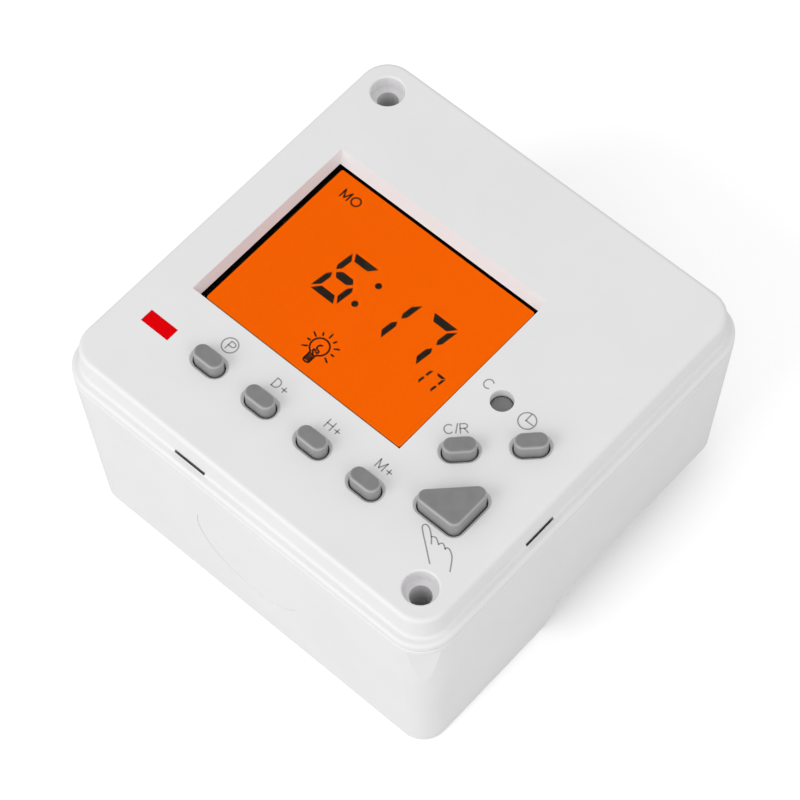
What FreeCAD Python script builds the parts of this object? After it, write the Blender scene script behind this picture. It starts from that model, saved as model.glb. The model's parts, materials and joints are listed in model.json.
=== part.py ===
import FreeCAD, Part
import math
import os
import re
import Sketcher

# A square digital time switch in its own surface-mounting box, lying on its back.
# The origin is the middle of the back, +X runs to the right of the face, +Y to its
# top and +Z out of the face. All lengths are millimetres and all angles degrees.

SIZES = {
    "Case": {
        "box_width": 86.0,
        "parting_height": 42.5,
        "parting_gap": 0.4,
        "rim_radius": 7.3,
        "rim_round": 0.4,
        "floor_inset": 2.5,
        "floor_round": 0.6,
        "housing_wall": 2.2,
        "floor_wall": 2.0,
        "fit_gap": 0.3,
        "running_gap": 0.1,
    },
    "Cover": {
        "cover_height": 7.5,
        "cover_wall": 2.0,
        "flange_height": 1.6,
        "flange_round": 0.7,
        "flange_foot_round": 0.4,
        "plateau_inset": 1.8,
        "plateau_radius": 5.5,
        "plateau_round": 0.9,
        "ledge_round": 0.6,
        "skirt_depth": 2.0,
        "snap_offset": 12.0,
        "snap_slot_length": 7.0,
        "snap_slot_height": 0.6,
        "snap_arm_width": 7.0,
        "snap_arm_thickness": 1.4,
        "snap_arm_drop": 6.0,
        "snap_hook_reach": 0.8,
        "snap_hook_height": 1.6,
    },
    "Window": {
        "window_left": 10.05,
        "window_right": 27.85,
        "window_low": 25.0,
        "window_high": 22.5,
        "window_depth": 2.5,
        "window_lean": 0.75,
        "window_lean_top": 1.35,
        "lens_margin": 1.2,
        "lens_thickness": 1.0,
        "lens_frame_wall": 1.0,
    },
    "Display": {
        "glass_margin": 2.0,
        "glass_plate": 1.1,
        "contact_ledge": 2.6,
        "light_guide_thickness": 2.4,
        "connector_thickness": 1.8,
        "connector_shortfall": 4.0,
        "lcd_frame_wall": 0.8,
        "lcd_peg_radius": 0.9,
        "backlight_led_length": 3.0,
        "backlight_led_depth": 1.4,
        "backlight_led_height": 1.8,
    },
    "Fixing screws": {
        "screw_inset": 7.9,
        "screw_bore": 4.0,
        "counterbore": 6.2,
        "counterbore_depth": 3.2,
        "counterbore_round": 0.4,
        "boss_diameter": 9.2,
        "corner_facet_depth": 0.66,
        "corner_facet_height": 13.1,
        "corner_facet_drop": 1.0,
    },
    "Keys": {
        "key_length": 5.95,
        "key_width": 3.25,
        "key_gap": 0.28,
        "key_chamfer": 0.55,
        "key_rise": 2.5,
        "key_round": 0.6,
        "key_flange": 0.8,
        "key_flange_thickness": 0.8,
        "key_travel": 0.5,
        "row_drop": 9.0,
        "row_left": 22.5,
        "row_right": 27.5,
        "slant_gap": 7.91,
        "slant_low": 31.39,
        "slant_pitch": 12.1,
        "manual_right": 9.84,
        "manual_low": 18.6,
        "manual_leg": 11.2,
        "manual_radius": 1.5,
        "manual_rise": 3.1,
        "reset_gap": 6.95,
        "reset_low": 43.4,
        "reset_diameter": 3.7,
        "reset_sink": 1.7,
        "reset_round": 0.3,
    },
    "Key switches": {
        "switch_width": 6.0,
        "switch_height": 3.5,
        "plunger_radius": 1.75,
        "plunger_depth": 0.9,
    },
    "Indicator": {
        "indicator_left": 10.9,
        "indicator_drop": 9.2,
        "indicator_length": 6.1,
        "indicator_width": 2.55,
        "indicator_flange": 0.7,
        "indicator_led_radius": 1.5,
        "indicator_led_rim": 0.3,
        "indicator_led_rim_height": 0.9,
    },
    "Boards": {
        "board_thickness": 1.6,
        "board_gap": 0.5,
        "board_corner": 3.5,
        "near_post_inset": 18.0,
        "far_post_inset": 10.0,
        "cover_post_inset": 7.5,
        "post_radius": 2.6,
        "post_pilot_radius": 1.1,
        "post_pilot_depth": 5.0,
        "board_screw_radius": 1.0,
        "board_screw_length": 4.5,
        "board_screw_head": 2.0,
        "board_screw_head_height": 1.4,
        "power_board_height": 12.0,
        "power_pilot_depth": 4.0,
        "power_post_side": 13.0,
        "power_post_end": 18.0,
    },
    "Rail fixing": {
        "rail_inset": 11.1,
        "rail_width": 35.0,
        "rail_edge_thickness": 1.0,
        "rail_gap": 0.2,
        "back_recess": 6.6,
        "rail_play": 2.0,
        "step_lean": 0.8,
        "step_lead_height": 2.6,
        "step_lead_run": 3.1,
        "hook_spacing": 44.0,
        "hook_width": 9.0,
        "hook_root": 4.0,
        "hook_reach": 1.6,
        "hook_lip": 2.2,
        "clip_width": 12.0,
        "clip_low": 0.8,
        "clip_reach": 1.5,
        "clip_guide": 1.4,
        "clip_guide_height": 1.8,
        "clip_guide_length": 5.0,
        "clip_nose": 2.0,
        "clip_travel": 2.5,
        "channel_end_wall": 2.3,
        "spring_room": 7.5,
        "spring_radius": 1.75,
        "spring_wire": 0.5,
        "spring_turns": 7.0,
        "spring_pin_radius": 1.1,
        "spring_pin_length": 3.0,
    },
    "Knock-out": {
        "knockout_x": 0.5,
        "knockout_height": 24.0,
        "knockout_radius": 11.7,
        "knockout_groove": 0.6,
        "knockout_depth": 0.3,
        "knockout_from": 160.0,
        "knockout_to": 340.0,
    },
    "Power parts": {
        "terminal_pitch": 9.5,
        "terminal_depth": 12.0,
        "terminal_height": 14.0,
        "terminal_inset": 2.3,
        "terminal_wall": 1.6,
        "wire_hole": 5.2,
        "wire_hole_height": 5.0,
        "wire_hole_depth": 8.4,
        "clamp_wall": 0.7,
        "clamp_length": 6.0,
        "terminal_screw_radius": 1.5,
        "terminal_screw_head": 2.0,
        "terminal_screw_head_height": 1.6,
        "terminal_screw_sink": 1.2,
        "terminal_slot_width": 0.7,
        "terminal_slot_depth": 0.7,
        "relay_x": 12.0,
        "relay_y": 4.0,
        "relay_length": 19.0,
        "relay_width": 15.5,
        "relay_height": 15.3,
        "relay_round": 0.8,
        "relay_pin_side": 7.3,
        "relay_pin_end": 5.2,
        "film_capacitor_x": -33.0,
        "film_capacitor_low": 27.0,
        "film_capacitor_length": 18.0,
        "film_capacitor_width": 8.5,
        "film_capacitor_height": 15.0,
        "film_capacitor_round": 1.0,
        "film_capacitor_pin_inset": 2.0,
        "can_x": -26.0,
        "can_y": 4.0,
        "can_radius": 5.0,
        "can_height": 16.0,
        "can_groove": 0.5,
        "can_groove_height": 1.5,
        "can_pitch": 5.0,
        "varistor_x": -6.0,
        "varistor_low": 29.0,
        "varistor_radius": 5.5,
        "varistor_thickness": 4.0,
        "varistor_pitch": 5.0,
        "fuse_x": 8.0,
        "fuse_low": 29.0,
        "fuse_radius": 4.25,
        "fuse_height": 8.0,
        "fuse_pitch": 5.0,
        "diode_x": -10.0,
        "diode_y": 8.0,
        "diode_pitch": 4.5,
        "diode_radius": 1.35,
        "diode_length": 5.2,
        "diode_lead_radius": 0.4,
        "diode_lead_span": 10.0,
        "resistor_x": -4.0,
        "resistor_high": 13.0,
        "resistor_radius": 2.3,
        "resistor_length": 11.0,
        "resistor_lead_span": 16.0,
        "transistor_x": 4.0,
        "transistor_y": 20.0,
        "transistor_radius": 2.3,
        "transistor_flat": 1.3,
        "transistor_height": 4.6,
        "transistor_stand": 1.0,
        "transistor_pitch": 1.27,
        "lead_radius": 0.3,
        "lead_below": 1.5,
    },
    "Display board parts": {
        "chip_x": 0.0,
        "chip_y": 4.0,
        "chip_radius": 7.0,
        "chip_height": 1.6,
        "crystal_x": 12.0,
        "crystal_y": 12.0,
        "crystal_radius": 1.0,
        "crystal_length": 6.0,
        "crystal_leg_radius": 0.2,
        "crystal_leg_length": 2.0,
        "crystal_leg_spread": 1.0,
        "cell_x": -20.0,
        "cell_y": 8.0,
        "cell_radius": 8.0,
        "cell_height": 5.0,
        "cell_strap_width": 4.0,
        "cell_strap_thickness": 0.4,
    },
    "Board link": {
        "link_x": 18.0,
        "link_high": 13.0,
        "riser_width": 12.0,
        "riser_thickness": 1.0,
        "riser_seat": 4.0,
        "socket_length": 15.0,
        "socket_width": 5.0,
        "socket_height": 6.0,
    },
}
ALIASES = {alias for group in SIZES.values() for alias in group}

doc = FreeCAD.newDocument("timer_switch")
sheet = doc.addObject("Spreadsheet::Sheet", "Sizes")
row = 1
for title, group in SIZES.items():
    sheet.set(f"A{row}", title)
    for alias, size in group.items():
        row += 1
        sheet.set(f"A{row}", alias)
        sheet.set(f"B{row}", str(size))
        sheet.setAlias(f"B{row}", alias)
    row += 2
doc.recompute()

# Sizes and places that follow from the sheet's own, as expressions of its cells
HALF = "(box_width / 2)"
FACE = "(parting_height + cover_height)"
RIM = "(parting_height - parting_gap)"
FLOOR_HALF = f"({HALF} - floor_inset)"
INNER_FLOOR = "(back_recess + floor_wall)"
PLATEAU_HALF = f"({HALF} - plateau_inset)"
COVER_INNER_HALF = f"({PLATEAU_HALF} - cover_wall)"
SKIRT_HALF = f"({HALF} - housing_wall - fit_gap)"
UNDERSIDE = f"({FACE} - cover_wall)"
LENS_TOP = f"({FACE} - window_depth)"
LENS_BOTTOM = f"({LENS_TOP} - lens_thickness)"
GLASS_TOP = f"({LENS_BOTTOM} - fit_gap)"
GLASS_BOTTOM = f"({GLASS_TOP} - 2 * glass_plate)"
BOARD_TOP = f"({GLASS_BOTTOM} - running_gap - light_guide_thickness)"
BOARD_BOTTOM = f"({BOARD_TOP} - board_thickness)"
KEY_FLANGE_TOP = f"({UNDERSIDE} - fit_gap)"
KEY_BOTTOM = f"({KEY_FLANGE_TOP} - key_flange_thickness)"
SWITCH_TOP = f"({BOARD_TOP} + switch_height)"
POWER_TOP = "(power_board_height + board_thickness)"
BOSS_END = f"({RIM} - skirt_depth)"

WINDOW_LEFT = f"(window_left - {HALF})"
WINDOW_RIGHT = f"({HALF} - window_right)"
WINDOW_LOW = f"(window_low - {HALF})"
WINDOW_HIGH = f"({HALF} - window_high)"
WINDOW_X = f"(({WINDOW_LEFT} + {WINDOW_RIGHT}) / 2)"
WINDOW_Y = f"(({WINDOW_LOW} + {WINDOW_HIGH}) / 2)"
ROW_X = f"(row_left - {HALF})"
ROW_Y = f"({WINDOW_LOW} - row_drop)"
ROW_PITCH = "((box_width - row_left - row_right) / 3)"
SLANT_X = f"({WINDOW_RIGHT} + slant_gap)"
SLANT_Y = f"(slant_low - {HALF})"
SLANT_STEP = "(slant_pitch * cos(45))"
MANUAL_X = f"({HALF} - manual_right)"
MANUAL_Y = f"(manual_low - {HALF})"
RESET_X = f"({WINDOW_RIGHT} + reset_gap)"
RESET_Y = f"(reset_low - {HALF})"
INDICATOR_X = f"(indicator_left - {HALF})"
INDICATOR_Y = f"({WINDOW_LOW} - indicator_drop)"
DIAGONAL_GROWTH = "(1 + sqrt(2))"

SCREW_PLACE = f"({HALF} - screw_inset)"
FACET_REACH = f"(({HALF} - rim_radius) * sqrt(2) + rim_radius)"
NEAR_POST_X = f"({HALF} - near_post_inset)"
FAR_POST_X = f"({HALF} - far_post_inset)"
COVER_POST_Y = f"({HALF} - cover_post_inset)"
POWER_POST_X = f"({HALF} - power_post_side)"
POWER_POST_Y = f"({HALF} - power_post_end)"

RAIL_HIGH = f"({HALF} - rail_inset)"
RAIL_LOW = f"({RAIL_HIGH} - rail_width)"
RAIL_GRIP = "(back_recess - rail_edge_thickness - rail_gap)"
STEP_Y = f"({RAIL_LOW} - rail_play)"
STEP_END = f"({STEP_Y} - step_lean - step_lead_run)"
FOOT_TOP = f"({STEP_END} - floor_wall)"
FOOT_INSIDE = f"({FLOOR_HALF} - housing_wall)"
CLIP_TOP = "(back_recess - fit_gap)"
CHANNEL_HALF = "(clip_width / 2 + fit_gap)"
CHANNEL_END = f"(channel_end_wall - {FOOT_INSIDE})"
CLIP_TAIL = f"({CHANNEL_END} + spring_room + clip_travel)"
GUIDE_HALF = f"({CHANNEL_HALF} + clip_guide)"
GUIDE_LOW = f"({CLIP_TOP} - clip_guide_height)"
SPRING_AXIS = f"((clip_low + {CLIP_TOP}) / 2)"

POWER_HALF = f"({FOOT_INSIDE} - board_gap)"
LEAD_END = "(power_board_height - lead_below)"
TERMINAL_Y = f"(terminal_inset - {FOOT_INSIDE})"
TERMINAL_WAYS = [f"({k} * terminal_pitch)" for k in (-1.5, -0.5, 0.5, 1.5)]
WIRE_LEVEL = f"({POWER_TOP} + wire_hole_height)"
CLAMP_Y = f"({TERMINAL_Y} + terminal_wall + clamp_length / 2)"
FILM_CAPACITOR_Y = f"(film_capacitor_low - {HALF})"
VARISTOR_Y = f"(varistor_low - {HALF})"
FUSE_Y = f"(fuse_low - {HALF})"
RESISTOR_Y = f"({HALF} - resistor_high)"
LINK_Y = f"({HALF} - link_high)"

# The keys: name, place of the key and turn of its long side
KEYS = {
    "program": (ROW_X, ROW_Y, "0"),
    "day": (f"{ROW_X} + {ROW_PITCH}", ROW_Y, "0"),
    "hour": (f"{ROW_X} + 2 * {ROW_PITCH}", ROW_Y, "0"),
    "minute": (f"{ROW_X} + 3 * {ROW_PITCH}", ROW_Y, "0"),
    "recall": (SLANT_X, SLANT_Y, "45"),
    "clock": (f"{SLANT_X} + {SLANT_STEP}", f"{SLANT_Y} + {SLANT_STEP}", "45"),
}
SWITCHES = {name: (x, y) for name, (x, y, _) in KEYS.items()}
SWITCHES["manual"] = (f"{MANUAL_X} - manual_leg / 3", f"{MANUAL_Y} + manual_leg / 3")
SWITCHES["reset"] = (RESET_X, RESET_Y)

PIECES = []


def bound(expression):
    """The expression with every size in it written as a cell of the sheet."""
    return re.sub(r"[a-z_]+", lambda word: f"Sizes.{word[0]}" if word[0] in ALIASES else word[0], expression)


def number(expression):
    """What the expression comes to with the sizes as they are now."""
    found = sheet.evalExpression(expression)
    return float(getattr(found, "Value", found))


def bind(thing, **expressions):
    """Drive properties of an object by expressions, with __ for the dots of a longer path."""
    for path, expression in expressions.items():
        thing.setExpression(path.replace("__", "."), bound(expression))


def keep(thing, label):
    """Name a finished piece and put it on the list of pieces."""
    thing.Label = label
    PIECES.append(thing)
    return thing


def place(thing, x="0", y="0", z="0", turn="0"):
    """Put an object where the expressions say, turned about its own Z axis."""
    thing.Placement = FreeCAD.Placement(FreeCAD.Vector(), FreeCAD.Rotation(FreeCAD.Vector(0, 0, 1), 1))
    bind(thing, Placement__Base__x=x, Placement__Base__y=y, Placement__Base__z=z)
    bind(thing, Placement__Rotation__Angle=turn)
    return thing


def new_body(name):
    return doc.addObject("PartDesign::Body", name)


def origin_feature(body, role):
    return next(feature for feature in body.Origin.OriginFeatures if feature.Role == role)


def sketch_on(body, name, role="XY_Plane", lift="0", x="0", y="0", turn="0", axis=(0, 0, 1)):
    """A sketch on one of the body's own planes, lifted along its normal, shifted and turned in it."""
    sketch = body.newObject("Sketcher::SketchObject", name)
    sketch.AttachmentSupport = [(origin_feature(body, role), "")]
    sketch.MapMode = "FlatFace"
    tilt = FreeCAD.Rotation(FreeCAD.Vector(*axis), 1)
    sketch.AttachmentOffset = FreeCAD.Placement(FreeCAD.Vector(), tilt)
    bind(
        sketch,
        AttachmentOffset__Base__x=x,
        AttachmentOffset__Base__y=y,
        AttachmentOffset__Base__z=lift,
        AttachmentOffset__Rotation__Angle=turn,
    )
    return sketch


def constrain(sketch, *facts, size=None):
    """One constraint, driven by an expression where a size is given."""
    if size is None:
        sketch.addConstraint(Sketcher.Constraint(*facts))
        return
    index = sketch.addConstraint(Sketcher.Constraint(*facts, number(size)))
    sketch.setExpression(f"Constraints[{index}]", bound(size))


def hold(sketch, geometry, point, x, y):
    """Hold a point of the sketch at x, y from the sketch's origin."""
    constrain(sketch, "DistanceX", -1, 1, geometry, point, size=x)
    constrain(sketch, "DistanceY", -1, 1, geometry, point, size=y)


def polygon(sketch, corners, construction=False):
    """A closed outline through corners, each a pair of expressions."""
    points = [FreeCAD.Vector(number(x), number(y), 0) for x, y in corners]
    first = sketch.GeometryCount
    count = len(points)
    for start, end in zip(points, points[1:] + points[:1]):
        sketch.addGeometry(Part.LineSegment(start, end), construction)
    for k, (x, y) in enumerate(corners):
        constrain(sketch, "Coincident", first + (k - 1) % count, 2, first + k, 1)
        hold(sketch, first + k, 1, x, y)
    return first


def rectangle(sketch, x0, x1, y0, y1):
    return polygon(sketch, [(x0, y0), (x1, y0), (x1, y1), (x0, y1)])


def rounded(sketch, corners, radius):
    """The outline through corners with every corner rounded to one radius.

    A construction polygon holds the sharp corners, the sides lie on it and an arc
    joins each two sides tangentially. The corners run anticlockwise.
    """
    frame = polygon(sketch, corners, construction=True)
    points = [FreeCAD.Vector(number(x), number(y), 0) for x, y in corners]
    count = len(points)
    along = [(points[(k + 1) % count] - points[k]).normalize() for k in range(count)]
    turns = [along[k - 1].getAngle(along[k]) for k in range(count)]
    cuts = [number(radius) * math.tan(turn / 2) for turn in turns]
    sides = sketch.GeometryCount
    for k in range(count):
        start = points[k] + along[k] * cuts[k]
        end = points[(k + 1) % count] - along[k] * cuts[(k + 1) % count]
        sketch.addGeometry(Part.LineSegment(start, end), False)
        constrain(sketch, "PointOnObject", sides + k, 1, frame + k)
        constrain(sketch, "PointOnObject", sides + k, 2, frame + k)
    for k in range(count):
        inward = FreeCAD.Vector(-along[k].y, along[k].x, 0)
        centre = points[k] + along[k] * cuts[k] + inward * number(radius)
        heading = math.atan2(-inward.y, -inward.x)
        circle = Part.Circle(centre, FreeCAD.Vector(0, 0, 1), number(radius))
        arc = sketch.addGeometry(Part.ArcOfCircle(circle, heading - turns[k], heading), False)
        constrain(sketch, "Tangent", sides + (k - 1) % count, 2, arc, 1)
        constrain(sketch, "Tangent", arc, 2, sides + k, 1)
        constrain(sketch, "Radius", arc, size=radius)


def square(half):
    return [(f"-{half}", f"-{half}"), (half, f"-{half}"), (half, half), (f"-{half}", half)]


def stadium(sketch, length, width):
    """A slot with round ends, centred in the sketch, its long side along x."""
    radius = number(width) / 2
    reach = number(length) / 2 - radius
    first = sketch.GeometryCount
    for side in (1, -1):
        line = Part.LineSegment(
            FreeCAD.Vector(-side * reach, -side * radius, 0), FreeCAD.Vector(side * reach, -side * radius, 0)
        )
        sketch.addGeometry(line, False)
        circle = Part.Circle(FreeCAD.Vector(side * reach, 0, 0), FreeCAD.Vector(0, 0, 1), radius)
        start = -math.pi / 2 if side > 0 else math.pi / 2
        sketch.addGeometry(Part.ArcOfCircle(circle, start, start + math.pi), False)
    for k in range(4):
        constrain(sketch, "Tangent", first + k, 2, first + (k + 1) % 4, 1)
    constrain(sketch, "Equal", first + 1, first + 3)
    constrain(sketch, "Radius", first + 1, size=f"({width}) / 2")
    hold(sketch, first + 1, 3, f"(({length}) - ({width})) / 2", "0")
    hold(sketch, first + 3, 3, f"-(({length}) - ({width})) / 2", "0")


def circle(sketch, x, y, radius):
    centre = FreeCAD.Vector(number(x), number(y), 0)
    round_edge = sketch.addGeometry(Part.Circle(centre, FreeCAD.Vector(0, 0, 1), number(radius)), False)
    constrain(sketch, "Radius", round_edge, size=radius)
    hold(sketch, round_edge, 3, x, y)


def triangle(sketch, grow):
    """The manual key's outline with its right corner at the sketch's origin, grown by a gap."""
    far = f"(manual_leg + ({grow}) * {DIAGONAL_GROWTH})"
    corners = [(f"-{far}", f"-({grow})"), (grow, f"-({grow})"), (grow, far)]
    rounded(sketch, corners, f"manual_radius + ({grow})")


def extrude(body, kind, name, sketch, length, taper=None, flipped=False, both=False):
    """A pad or pocket of a sketch, optionally with leaning walls, flipped or to both sides."""
    feature = body.newObject(f"PartDesign::{kind}", name)
    feature.Profile = sketch
    feature.Reversed = flipped
    feature.SideType = "Symmetric" if both else "One side"
    bind(feature, Length=length)
    if taper is not None:
        bind(feature, TaperAngle=taper)
    return feature


def pad(body, name, sketch, length, **options):
    return extrude(body, "Pad", name, sketch, length, **options)


def pocket(body, name, sketch, length, **options):
    """A pocket that has to take material away."""
    doc.recompute()
    before = body.Shape.Volume
    feature = extrude(body, "Pocket", name, sketch, length, **options)
    doc.recompute()
    if body.Shape.Volume > before - 1e-6:
        raise RuntimeError(f"{name} cuts nothing")
    return feature


def around(body, name, features, count):
    """Repeat features about the body's Z axis."""
    pattern = body.newObject("PartDesign::PolarPattern", name)
    pattern.Originals = features
    pattern.Axis = (origin_feature(body, "Z_Axis"), [""])
    pattern.Angle = 360
    pattern.Occurrences = count
    body.Tip = pattern
    return pattern


def mirrored(body, name, features, role="YZ_Plane"):
    pattern = body.newObject("PartDesign::Mirrored", name)
    pattern.Originals = features
    pattern.MirrorPlane = (origin_feature(body, role), [""])
    body.Tip = pattern
    return pattern


def level_edges(shape, level, lowest=0.0, highest=1e9):
    """Names of the edges at one height whose farthest reach from the Z axis lies between two lengths."""
    names = []
    for index, edge in enumerate(shape.Edges, start=1):
        box = edge.BoundBox
        reach = max(abs(box.XMin), abs(box.XMax), abs(box.YMin), abs(box.YMax))
        if abs(box.ZMin - level) < 1e-4 and abs(box.ZMax - level) < 1e-4 and lowest < reach < highest:
            names.append(f"Edge{index}")
    return names


def soften(body, kind, name, edges, size):
    """A fillet or chamfer of named edges of the body's last feature."""
    base = body.Tip
    feature = body.newObject(f"PartDesign::{kind}", name)
    feature.Base = (base, edges)
    bind(feature, **{"Radius" if kind == "Fillet" else "Size": size})
    doc.recompute()
    return feature


def box(name, x0, x1, y0, y1, z0, z1):
    """A block between six faces, each an expression."""
    block = doc.addObject("Part::Box", name)
    bind(block, Length=f"({x1}) - ({x0})", Width=f"({y1}) - ({y0})", Height=f"({z1}) - ({z0})")
    return place(block, x0, y0, z0)


def cylinder(name, x, y, z0, z1, radius):
    """An upright cylinder between two heights."""
    rod = doc.addObject("Part::Cylinder", name)
    bind(rod, Radius=radius, Height=f"({z1}) - ({z0})")
    return place(rod, x, y, z0)


def lying_cylinder(name, x0, x1, y, z, radius):
    """A cylinder along X between two places."""
    rod = doc.addObject("Part::Cylinder", name)
    rod.Placement = FreeCAD.Placement(FreeCAD.Vector(), FreeCAD.Rotation(FreeCAD.Vector(0, 1, 0), 90))
    bind(rod, Radius=radius, Height=f"({x1}) - ({x0})")
    bind(rod, Placement__Base__x=x0, Placement__Base__y=y, Placement__Base__z=z)
    return rod


def group(name, things):
    compound = doc.addObject("Part::Compound", name)
    compound.Links = things
    return compound


def cut(name, base, tool):
    difference = doc.addObject("Part::Cut", name)
    difference.Base = base
    difference.Tool = tool
    return difference


def fuse(name, things):
    union = doc.addObject("Part::MultiFuse", name)
    union.Shapes = things
    return union


def two_corners(sketch, radius):
    """Circles at the two fixing screws, at the face's top left and bottom right."""
    for sign in ("-", ""):
        other = "" if sign else "-"
        circle(sketch, f"{sign}{SCREW_PLACE}", f"{other}{SCREW_PLACE}", radius)


def rear_housing():
    """The box: leaning walls, a foot below, a raised back with the rail's channel, hooks and guides."""
    body = new_body("RearHousing")
    outline = sketch_on(body, "FootOutline")
    rounded(outline, square(FLOOR_HALF), "rim_radius - floor_inset")
    lean = f"atan(floor_inset / {RIM})"
    pad(body, "Walls", outline, RIM, taper=lean)

    recess = sketch_on(body, "RailRecessOutline", "YZ_Plane")
    below = "(0 - floor_wall)"
    corners = [
        (STEP_Y, "back_recess"),
        (f"{STEP_Y} - step_lean", "step_lead_height"),
        (STEP_END, "0"),
        (STEP_END, below),
        (f"{HALF} + floor_wall", below),
        (f"{HALF} + floor_wall", "back_recess"),
    ]
    polygon(recess, corners)
    pocket(body, "RailRecess", recess, "box_width * 2", both=True)
    doc.recompute()
    soften(body, "Fillet", "FootEdges", foot_edges(body.Shape), "floor_round")

    cavity = sketch_on(body, "CavityOutline", lift=RIM)
    rounded(cavity, square(f"({HALF} - housing_wall)"), "rim_radius - housing_wall")
    pocket(body, "Cavity", cavity, f"{RIM} - {INNER_FLOOR}", taper=f"-{lean}")
    foot_cavity = sketch_on(body, "FootCavityOutline", lift=INNER_FLOOR)
    rectangle(foot_cavity, f"-{FOOT_INSIDE}", FOOT_INSIDE, f"-{FOOT_INSIDE}", FOOT_TOP)
    pocket(body, "FootCavity", foot_cavity, "back_recess")

    roof_half = f"({GUIDE_HALF} + floor_wall)"
    roof = sketch_on(body, "ChannelRoofOutline", lift="floor_wall")
    rectangle(roof, f"-{roof_half}", roof_half, f"-{FOOT_INSIDE}", FOOT_TOP)
    pad(body, "ChannelRoof", roof, "back_recess")
    slider = sketch_on(body, "ChannelOutline")
    rectangle(slider, f"-{CHANNEL_HALF}", CHANNEL_HALF, CHANNEL_END, f"{STEP_Y} + fit_gap")
    pocket(body, "Channel", slider, "back_recess", flipped=True)
    guide = sketch_on(body, "GuideOutline", lift=f"{GUIDE_LOW} - fit_gap")
    guide_end = f"{CLIP_TAIL} + clip_guide_length + fit_gap"
    rectangle(guide, f"-{GUIDE_HALF}", GUIDE_HALF, CHANNEL_END, guide_end)
    pocket(body, "Guide", guide, f"back_recess - {GUIDE_LOW} + fit_gap", flipped=True)
    entry = sketch_on(body, "GuideEntryOutline")
    entry_end = f"{CHANNEL_END} + clip_guide_length + 2 * fit_gap"
    rectangle(entry, f"-{GUIDE_HALF}", GUIDE_HALF, CHANNEL_END, entry_end)
    pocket(body, "GuideEntry", entry, GUIDE_LOW, flipped=True)
    pin = sketch_on(body, "SpringPinOutline", "XZ_Plane", lift=f"0 - {CHANNEL_END}")
    circle(pin, "0", SPRING_AXIS, "spring_pin_radius")
    pad(body, "SpringPin", pin, "spring_pin_length", flipped=True)

    hook = sketch_on(body, "HookOutline", "YZ_Plane", lift="(hook_spacing - hook_width) / 2")
    corners = [
        (f"{RAIL_HIGH} + hook_root", "back_recess"),
        (RAIL_HIGH, "back_recess"),
        (RAIL_HIGH, RAIL_GRIP),
        (f"{RAIL_HIGH} - hook_reach", RAIL_GRIP),
        (f"{RAIL_HIGH} - hook_reach", f"{RAIL_GRIP} - hook_lip"),
        (f"{RAIL_HIGH} + hook_reach", "0"),
        (f"{RAIL_HIGH} + hook_root", "0"),
    ]
    polygon(hook, corners)
    hook_pad = pad(body, "Hook", hook, "hook_width")
    mirrored(body, "Hooks", [hook_pad])

    tubes = sketch_on(body, "TubeOutline")
    two_corners(tubes, "boss_diameter / 2")
    pad(body, "ScrewTubes", tubes, BOSS_END)
    bores = sketch_on(body, "BoreOutline")
    two_corners(bores, "screw_bore / 2")
    pocket(body, "ScrewBores", bores, RIM, flipped=True)

    for row_name, sign, base in (("Upper", "", "back_recess"), ("Lower", "-", "0")):
        posts = sketch_on(body, f"{row_name}PostOutline", lift=base)
        pilots = sketch_on(body, f"{row_name}PilotOutline", lift="power_board_height")
        for side in ("", "-"):
            circle(posts, f"{side}{POWER_POST_X}", f"{sign}{POWER_POST_Y}", "post_radius")
            circle(pilots, f"{side}{POWER_POST_X}", f"{sign}{POWER_POST_Y}", "post_pilot_radius")
        pad(body, f"{row_name}Posts", posts, f"power_board_height - {base}")
        pocket(body, f"{row_name}Pilots", pilots, "power_pilot_depth")

    catch = sketch_on(body, "CatchOutline", "XZ_Plane", lift=f"{HALF} - housing_wall - snap_hook_reach * 2")
    hook_top = f"({RIM} - snap_arm_drop + snap_hook_height)"
    wide = "(snap_arm_width / 2 + fit_gap)"
    catch_low = f"({RIM} - snap_arm_drop - fit_gap)"
    rectangle(catch, f"-snap_offset - {wide}", f"{wide} - snap_offset", catch_low, f"{hook_top} + fit_gap")
    recess_depth = "snap_hook_reach * 3 + fit_gap"
    catch_pocket = pocket(body, "Catch", catch, recess_depth, flipped=True)
    around(body, "Catches", [catch_pocket], 4)

    facet = sketch_on(body, "FacetOutline", "XZ_Plane", turn="-45", axis=(0, 1, 0))
    tip = f"({FACET_REACH} - floor_inset * corner_facet_height / {RIM})"
    corners = [
        (tip, f"{RIM} - corner_facet_height"),
        (f"{FACET_REACH} + rim_radius", f"{RIM} - corner_facet_height"),
        (f"{FACET_REACH} + rim_radius", f"{RIM} - corner_facet_drop"),
        (f"{FACET_REACH} - corner_facet_depth", f"{RIM} - corner_facet_drop"),
    ]
    polygon(facet, corners)
    facet_pocket = pocket(body, "Facet", facet, "rim_radius * 2", both=True)
    around(body, "Facets", [facet_pocket], 2)
    doc.recompute()
    soften(body, "Fillet", "RimEdge", rim_edges(body.Shape), "rim_round")
    knock_out(body)
    return keep(body, "rear_housing")


def foot_edges(shape):
    """Edges round the foot and round the raised back, between a wall and the back."""
    return level_edges(shape, 0.0, number(f"{FLOOR_HALF} - rim_radius"))


def rim_edges(shape):
    return level_edges(shape, number(RIM), number(f"{HALF} - housing_wall / 2"))


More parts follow.
